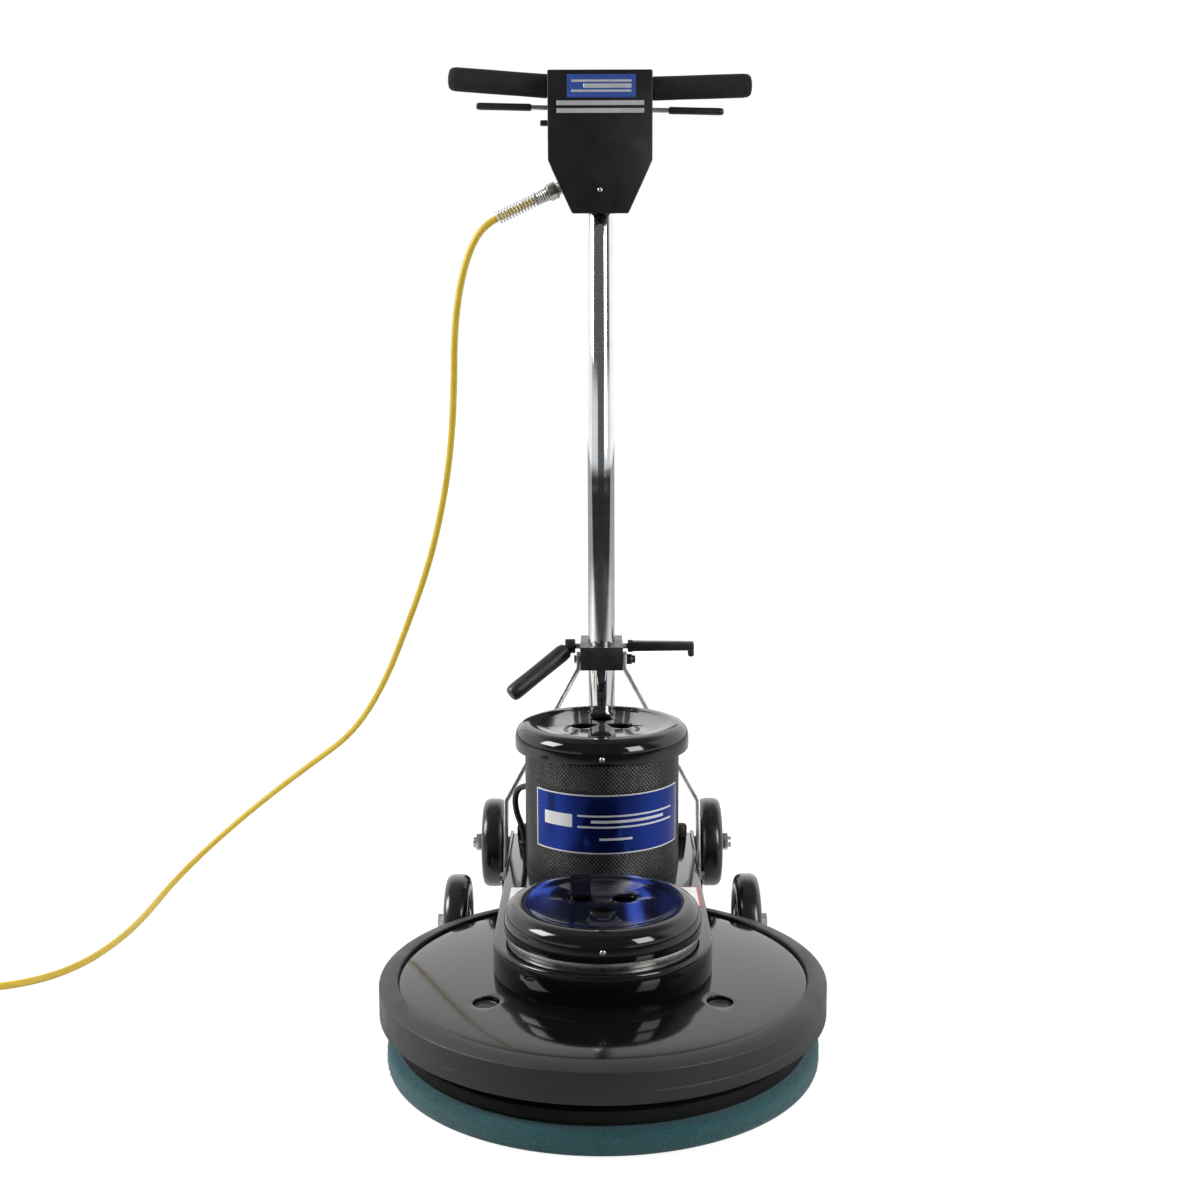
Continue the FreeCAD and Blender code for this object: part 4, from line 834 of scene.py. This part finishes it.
lever_axis = Vector((-0.75, -0.36, -0.555)).normalized()
lever_turn = lever_axis.to_track_quat("Z", "Y").to_matrix()
grip_outline = [(0, 0), (8.5, 0), (11.2, 3), (12.5, 9), (12.3, 30), (12.1, 60), (12.5, 92), (12.2, 101),
                (10.4, 106), (7.4, 107.4), (7.0, 106.4), (0, 106.4)]
lever_grip = spun("lever_grip", grip_outline, "Z", 56)
rounded(lever_grip, 0.5, 2)
settle(lever_grip, (-50, 455, 403.5), lever_turn)
lever_hub = spun("lever_hub", [(4.05, -53), (9.2, -53), (10.5, -51.4), (10.5, -39.2), (9.4, -38),
                               (4.05, -38)], "X", 48)
settle(rounded(lever_hub, 0.4, 2), LOCK_BOLT)
finish_piece(joined("lock_lever_moulding", lever_grip, lever_hub), moulded, "lever", "black_plastic",
             "lock_lever")

hook_arm = block("hook_arm", (38, 451, 401.5), (134, 469, 413.5))
for vertex in hook_arm.data.vertices:
    if vertex.co.x < 0.05:
        vertex.co.z += (1.2 if vertex.co.z > 0.41 else -1.0) * MM
hook_tip = block("hook_tip", (125.5, 451, 392.5), (134, 469, 404))
hook_hub = spun("hook_hub", [(4.05, 38), (8.0, 38), (9.0, 39), (9.0, 45), (4.05, 45)], "X", 48)
settle(rounded(hook_hub, 0.4, 2), LOCK_BOLT)
cord_hook = joined("cord_hook_moulding", rounded(hook_arm, 2.2, 3), rounded(hook_tip, 2.4, 3), hook_hub)
finish_piece(cord_hook, moulded, "hook", "black_plastic", "cord_hook")

# -------------------- handle head
# A folded steel front plate, a box behind it and a rear cover, in textured black powder coat. Rounded
# corners, one screw through the foot, and four at the back.
head_low, head_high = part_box("head_plate")
head_plate = started("head_front_plate", bpy.ops.mesh.primitive_circle_add, vertices=6, radius=1)
PLATE = [(-38, 1012), (38, 1012), (70.4, 1082), (70.4, 1199), (-70.4, 1199), (-70.4, 1082)]
for vertex, (x, z) in zip(head_plate.data.vertices, PLATE):
    vertex.co = (x * MM, head_low.y, z * MM)
enter("EDIT", "SELECT")
bpy.ops.mesh.bevel(offset=2.2 * MM, segments=4, affect="VERTICES")
bpy.ops.mesh.select_all(action="SELECT")
bpy.ops.mesh.edge_face_add()
bpy.ops.mesh.extrude_region_move(TRANSFORM_OT_translate={"value": (0, head_high.y - head_low.y, 0)})
outward()
rounded(head_plate, 0.9, 3, 40)
# Wrinkle powder coat on steel: nearly black, half gloss, raised in grains of about a millimetre, which are
# drawn at two so that they show.
wrinkle = worn(surface("wrinkle_powder_coat", "#0B0B0C", 0.42, ior=1.48),
               ("#09090A", "#0E0E0F"), 30, (0.36, 0.46), 1.6, 0.16)
finish_piece(head_plate, wrinkle, "handle", "textured_black", "head_plate")
edge_broken("switch_box", "switch_box_folding", 0.8, wrinkle, "handle", "textured_black")
edge_broken("back_cover", "rear_cover_plate", 0.5, wrinkle, "handle", "textured_black")

head_label = block("head_label_plate", (-44, head_low.y / MM - 0.35, 1163), (48, head_low.y / MM, 1193))
finish_piece(rounded(head_label, 0.1, 1), blue_film, "handle", "textured_black")
label_bars = []
for number, (low_x, high_x, low_z, high_z) in enumerate(((-38, 42, 1183, 1186), (-38, 42, 1170, 1173),
                                                         (-22, 42, 1175.2, 1180.8), (-58, 59, 1153, 1159),
                                                         (-58, 59, 1143, 1149))):
    label_bars.append(block(f"label_bar{number}", (low_x, head_low.y / MM - 0.55, low_z),
                            (high_x, head_low.y / MM, high_z)))
head_bars = rounded(joined("head_label_bars", *label_bars), 0.1, 1)
finish_piece(head_bars, foil_silver, "handle", "zinc_plate")

head_screws = []
for x, y, z, facing in ((0, head_low.y / MM, 1043, 90), (-58, 472, 1186, -90), (58, 472, 1186, -90),
                        (-58, 472, 1096, -90), (58, 472, 1096, -90)):
    pan_head = cross_head("pan_head", [(0, 0), (3.4, 0), (3.3, 1.0), (2.5, 1.7), (1.2, 2.0), (0, 2.05)],
                          2.3, 1.2)
    head_screws.append(settle(pan_head, (x, y, z), turned(facing, "X")))
head_screw_set = rounded(joined("head_screw_heads", *head_screws), 0.1, 1)
finish_piece(head_screw_set, plated, "handle", "zinc_plate", "head_screws")

# -------------------- handlebar and foam grips
# Steel tube in a shallow V through the top of the box, with closed-cell foam sleeves pushed on.
BAR_Z, BAR_RISE, BAR_LEAN, TRIGGER_Z, BUTTON_Z = 1180.5, 3.0, 1.4, 1156, 1137.5
foam = worn(surface("closed_cell_foam", "#121213", 0.85, ior=1.45),
            ("#0E0E0F", "#191A1B"), 8, (0.7, 0.88), 1.5, 0.25)
edge_broken("handlebar", "handlebar_tube", 0.3, strut_steel, "handle", "bright_steel")
for side, name in ((-1, "left"), (1, "right")):
    sleeve = spun(f"{name}_foam_grip", [(11, 71), (14.6, 71), (15.8, 73), (15.6, 110), (15.8, 150),
                                        (15.7, 196), (14.8, 202), (12, 205.6), (7, 206.9), (0, 207),
                                        (0, 203), (11, 203)], "Z", 64)
    rounded(sleeve, 0.6, 2)
    tip = math.radians(90 - (BAR_RISE - side * BAR_LEAN)) * side
    settle(sleeve, (0, AXLE_Y, BAR_Z), Matrix.Rotation(tip, 3, "Y"))
    finish_piece(sleeve, foam, "handle", "grip_foam", f"{name}_grip")

# -------------------- trigger bar, pin, button and switch
# A bright steel rod right across the head, its ends dipped in black vinyl, swings on a hidden pin and
# presses the switch; the small nylon button in the left side unlocks it.
paint(nodes["trigger_bar"], strut_steel)
lean = math.radians(BAR_LEAN)
dips = []
for side in (-1, 1):
    dip = spun(f"vinyl_dip{side}", [(3.2, 94), (4.3, 94), (4.9, 96.5), (4.8, 130), (4.9, 163), (4.4, 167.4),
                                    (2.6, 169), (0, 169.2), (0, 166.1), (3.2, 166.1)], "Z", 40)
    settle(dip, (0, AXLE_Y, TRIGGER_Z), Matrix.Rotation(math.radians(90) * side + lean, 3, "Y"))
    dips.append(dip)
trigger_dips = rounded(joined("trigger_vinyl_ends", *dips), 0.25, 2)
# Dipped PVC: satin black with a soft drawn skin.
vinyl = worn(surface("dipped_vinyl", "#1A1B1D", 0.4, ior=1.53),
             ("#141516", "#232427"), 12, (0.34, 0.48), 2.0, 0.06)
finish_piece(trigger_dips, vinyl, "trigger", "black_plastic", "trigger_sleeves")
button = spun("lock_out_button", [(0, -82), (3.0, -82), (3.7, -81.2), (4, -80), (4, -56), (0, -56)], "X", 40)
settle(rounded(button, 0.3, 2), (0, AXLE_Y, BUTTON_Z))
finish_piece(button, moulded, "button", "black_plastic", "safety_button")

# -------------------- cord gland and strain relief
# Zinc die-cast gland: hex nut against the box, a ribbed tapering neck, and a wound spring of steel wire
# that stops the cord from kinking. A stub of the cord runs through it.
gland_turn = turned(-(90 + 25.1), "Y")
GLAND = (-54.3, AXLE_Y, 1052)
nut = spun("gland_nut", [(7.4, 6), (11.4, 6), (12.0, 7), (12.0, 17.5), (11.2, 19), (7.4, 19)], "Z", 6)
rounded(nut, 0.7, 2)
neck_outline = [(0, -6), (8.6, -6), (8.6, 6), (7.6, 6.4), (7.6, 18.6), (9.4, 19), (9.8, 20.4)]
for rib in range(5):
    neck_outline += [(9.7 - 0.15 * rib, 21.6 + 3.2 * rib), (8.5 - 0.15 * rib, 22.6 + 3.2 * rib),
                     (8.5 - 0.15 * rib, 23.6 + 3.2 * rib), (9.6 - 0.15 * rib, 24.4 + 3.2 * rib)]
neck_outline += [(8.2, 38), (0, 38)]
gland_neck = rounded(spun("gland_neck", neck_outline, "Z", 48), 0.25, 1)
gland = settle(joined("cord_gland_casting", nut, gland_neck), GLAND, gland_turn)
finish_piece(gland, plated, "handle", "zinc_plate", "cord_gland")

SPRING_TURNS, SPRING_START, SPRING_END = 13, 36.5, 96.0
STEPS_A_TURN, WIRE_RADIUS = 12, 0.95
coil_points = []
for step in range(SPRING_TURNS * STEPS_A_TURN + 1):
    share = step / (SPRING_TURNS * STEPS_A_TURN)
    reach = 8.4 + 0.4 * share
    turn = 2 * math.pi * step / STEPS_A_TURN
    spot = gland_turn @ Vector((reach * math.cos(turn), reach * math.sin(turn),
                                SPRING_START + share * (SPRING_END - SPRING_START)))
    coil_points.append(tuple(spot + Vector(GLAND)))
spring = as_tube(nurbs_line("strain_relief_spring", coil_points), WIRE_RADIUS * MM, 3)
# Galvanised spring wire: dull silver, so that each turn shows light against the cord.
wire = worn(surface("galvanised_spring_wire", "#D2D3D2", 0.4, metallic=0.85),
            ("#C0C1C1", "#E0E1E0"), 6, (0.34, 0.48), 0.8, 0.02)
finish_piece(spring, wire, "handle", "zinc_plate", "cord_relief")
stub = spun("cord_stub", [(0, 37), (4.8, 37), (4.8, 96.9), (0, 96.9)], "Z", 24)
bpy.ops.object.shade_smooth_by_angle(angle=math.radians(35))
settle(stub, GLAND, gland_turn)
finish_piece(stub, jacket, "handle", "cord_jacket")

# -------------------- what is inside
# Bearings, pulleys, belt, motor and switch parts, seen only when covers are off or from below.
aluminium = worn(surface("machined_cast_aluminium", "#B9BBBD", 0.35, metallic=1.0),
                 ("#A3A5A8", "#CDCFD1"), 10, (0.28, 0.45), 1.2, 0.05)
laminations = worn(surface("varnished_laminations", "#6B6660", 0.45, metallic=0.8),
                   ("#57524D", "#7E7870"), 15, (0.4, 0.55), 0.7, 0.08, (1, 1, 8))
copper = worn(surface("enamelled_copper_wire", "#B4642F", 0.35, metallic=0.9),
              ("#9A5226", "#C97A42"), 6, (0.3, 0.42), 1.4, 0.4)
belt_stuff = worn(surface("ribbed_belt_rubber", "#161617", 0.7, ior=1.5),
                  ("#111112", "#222224"), 12, (0.6, 0.8), 1.6, 0.2, (1, 1, 6))
INSIDE = {
    "spindle_pulley": aluminium, "motor_pulley": aluminium, "bearing_housings": aluminium,
    "motor_end_plates": aluminium, "drive_belt": belt_stuff, "motor_stator": laminations,
    "motor_rotor": laminations, "motor_windings": copper, "ball_bearings": strut_steel,
    "spindle_shaft": strut_steel, "motor_shaft": strut_steel, "motor_fan": moulded,
    "pad_gripper": driver_black_and_painted_shade, "trigger_pin": plated, "power_switch": moulded,
}
for node, material in INSIDE.items():
    paint(nodes[node], material)
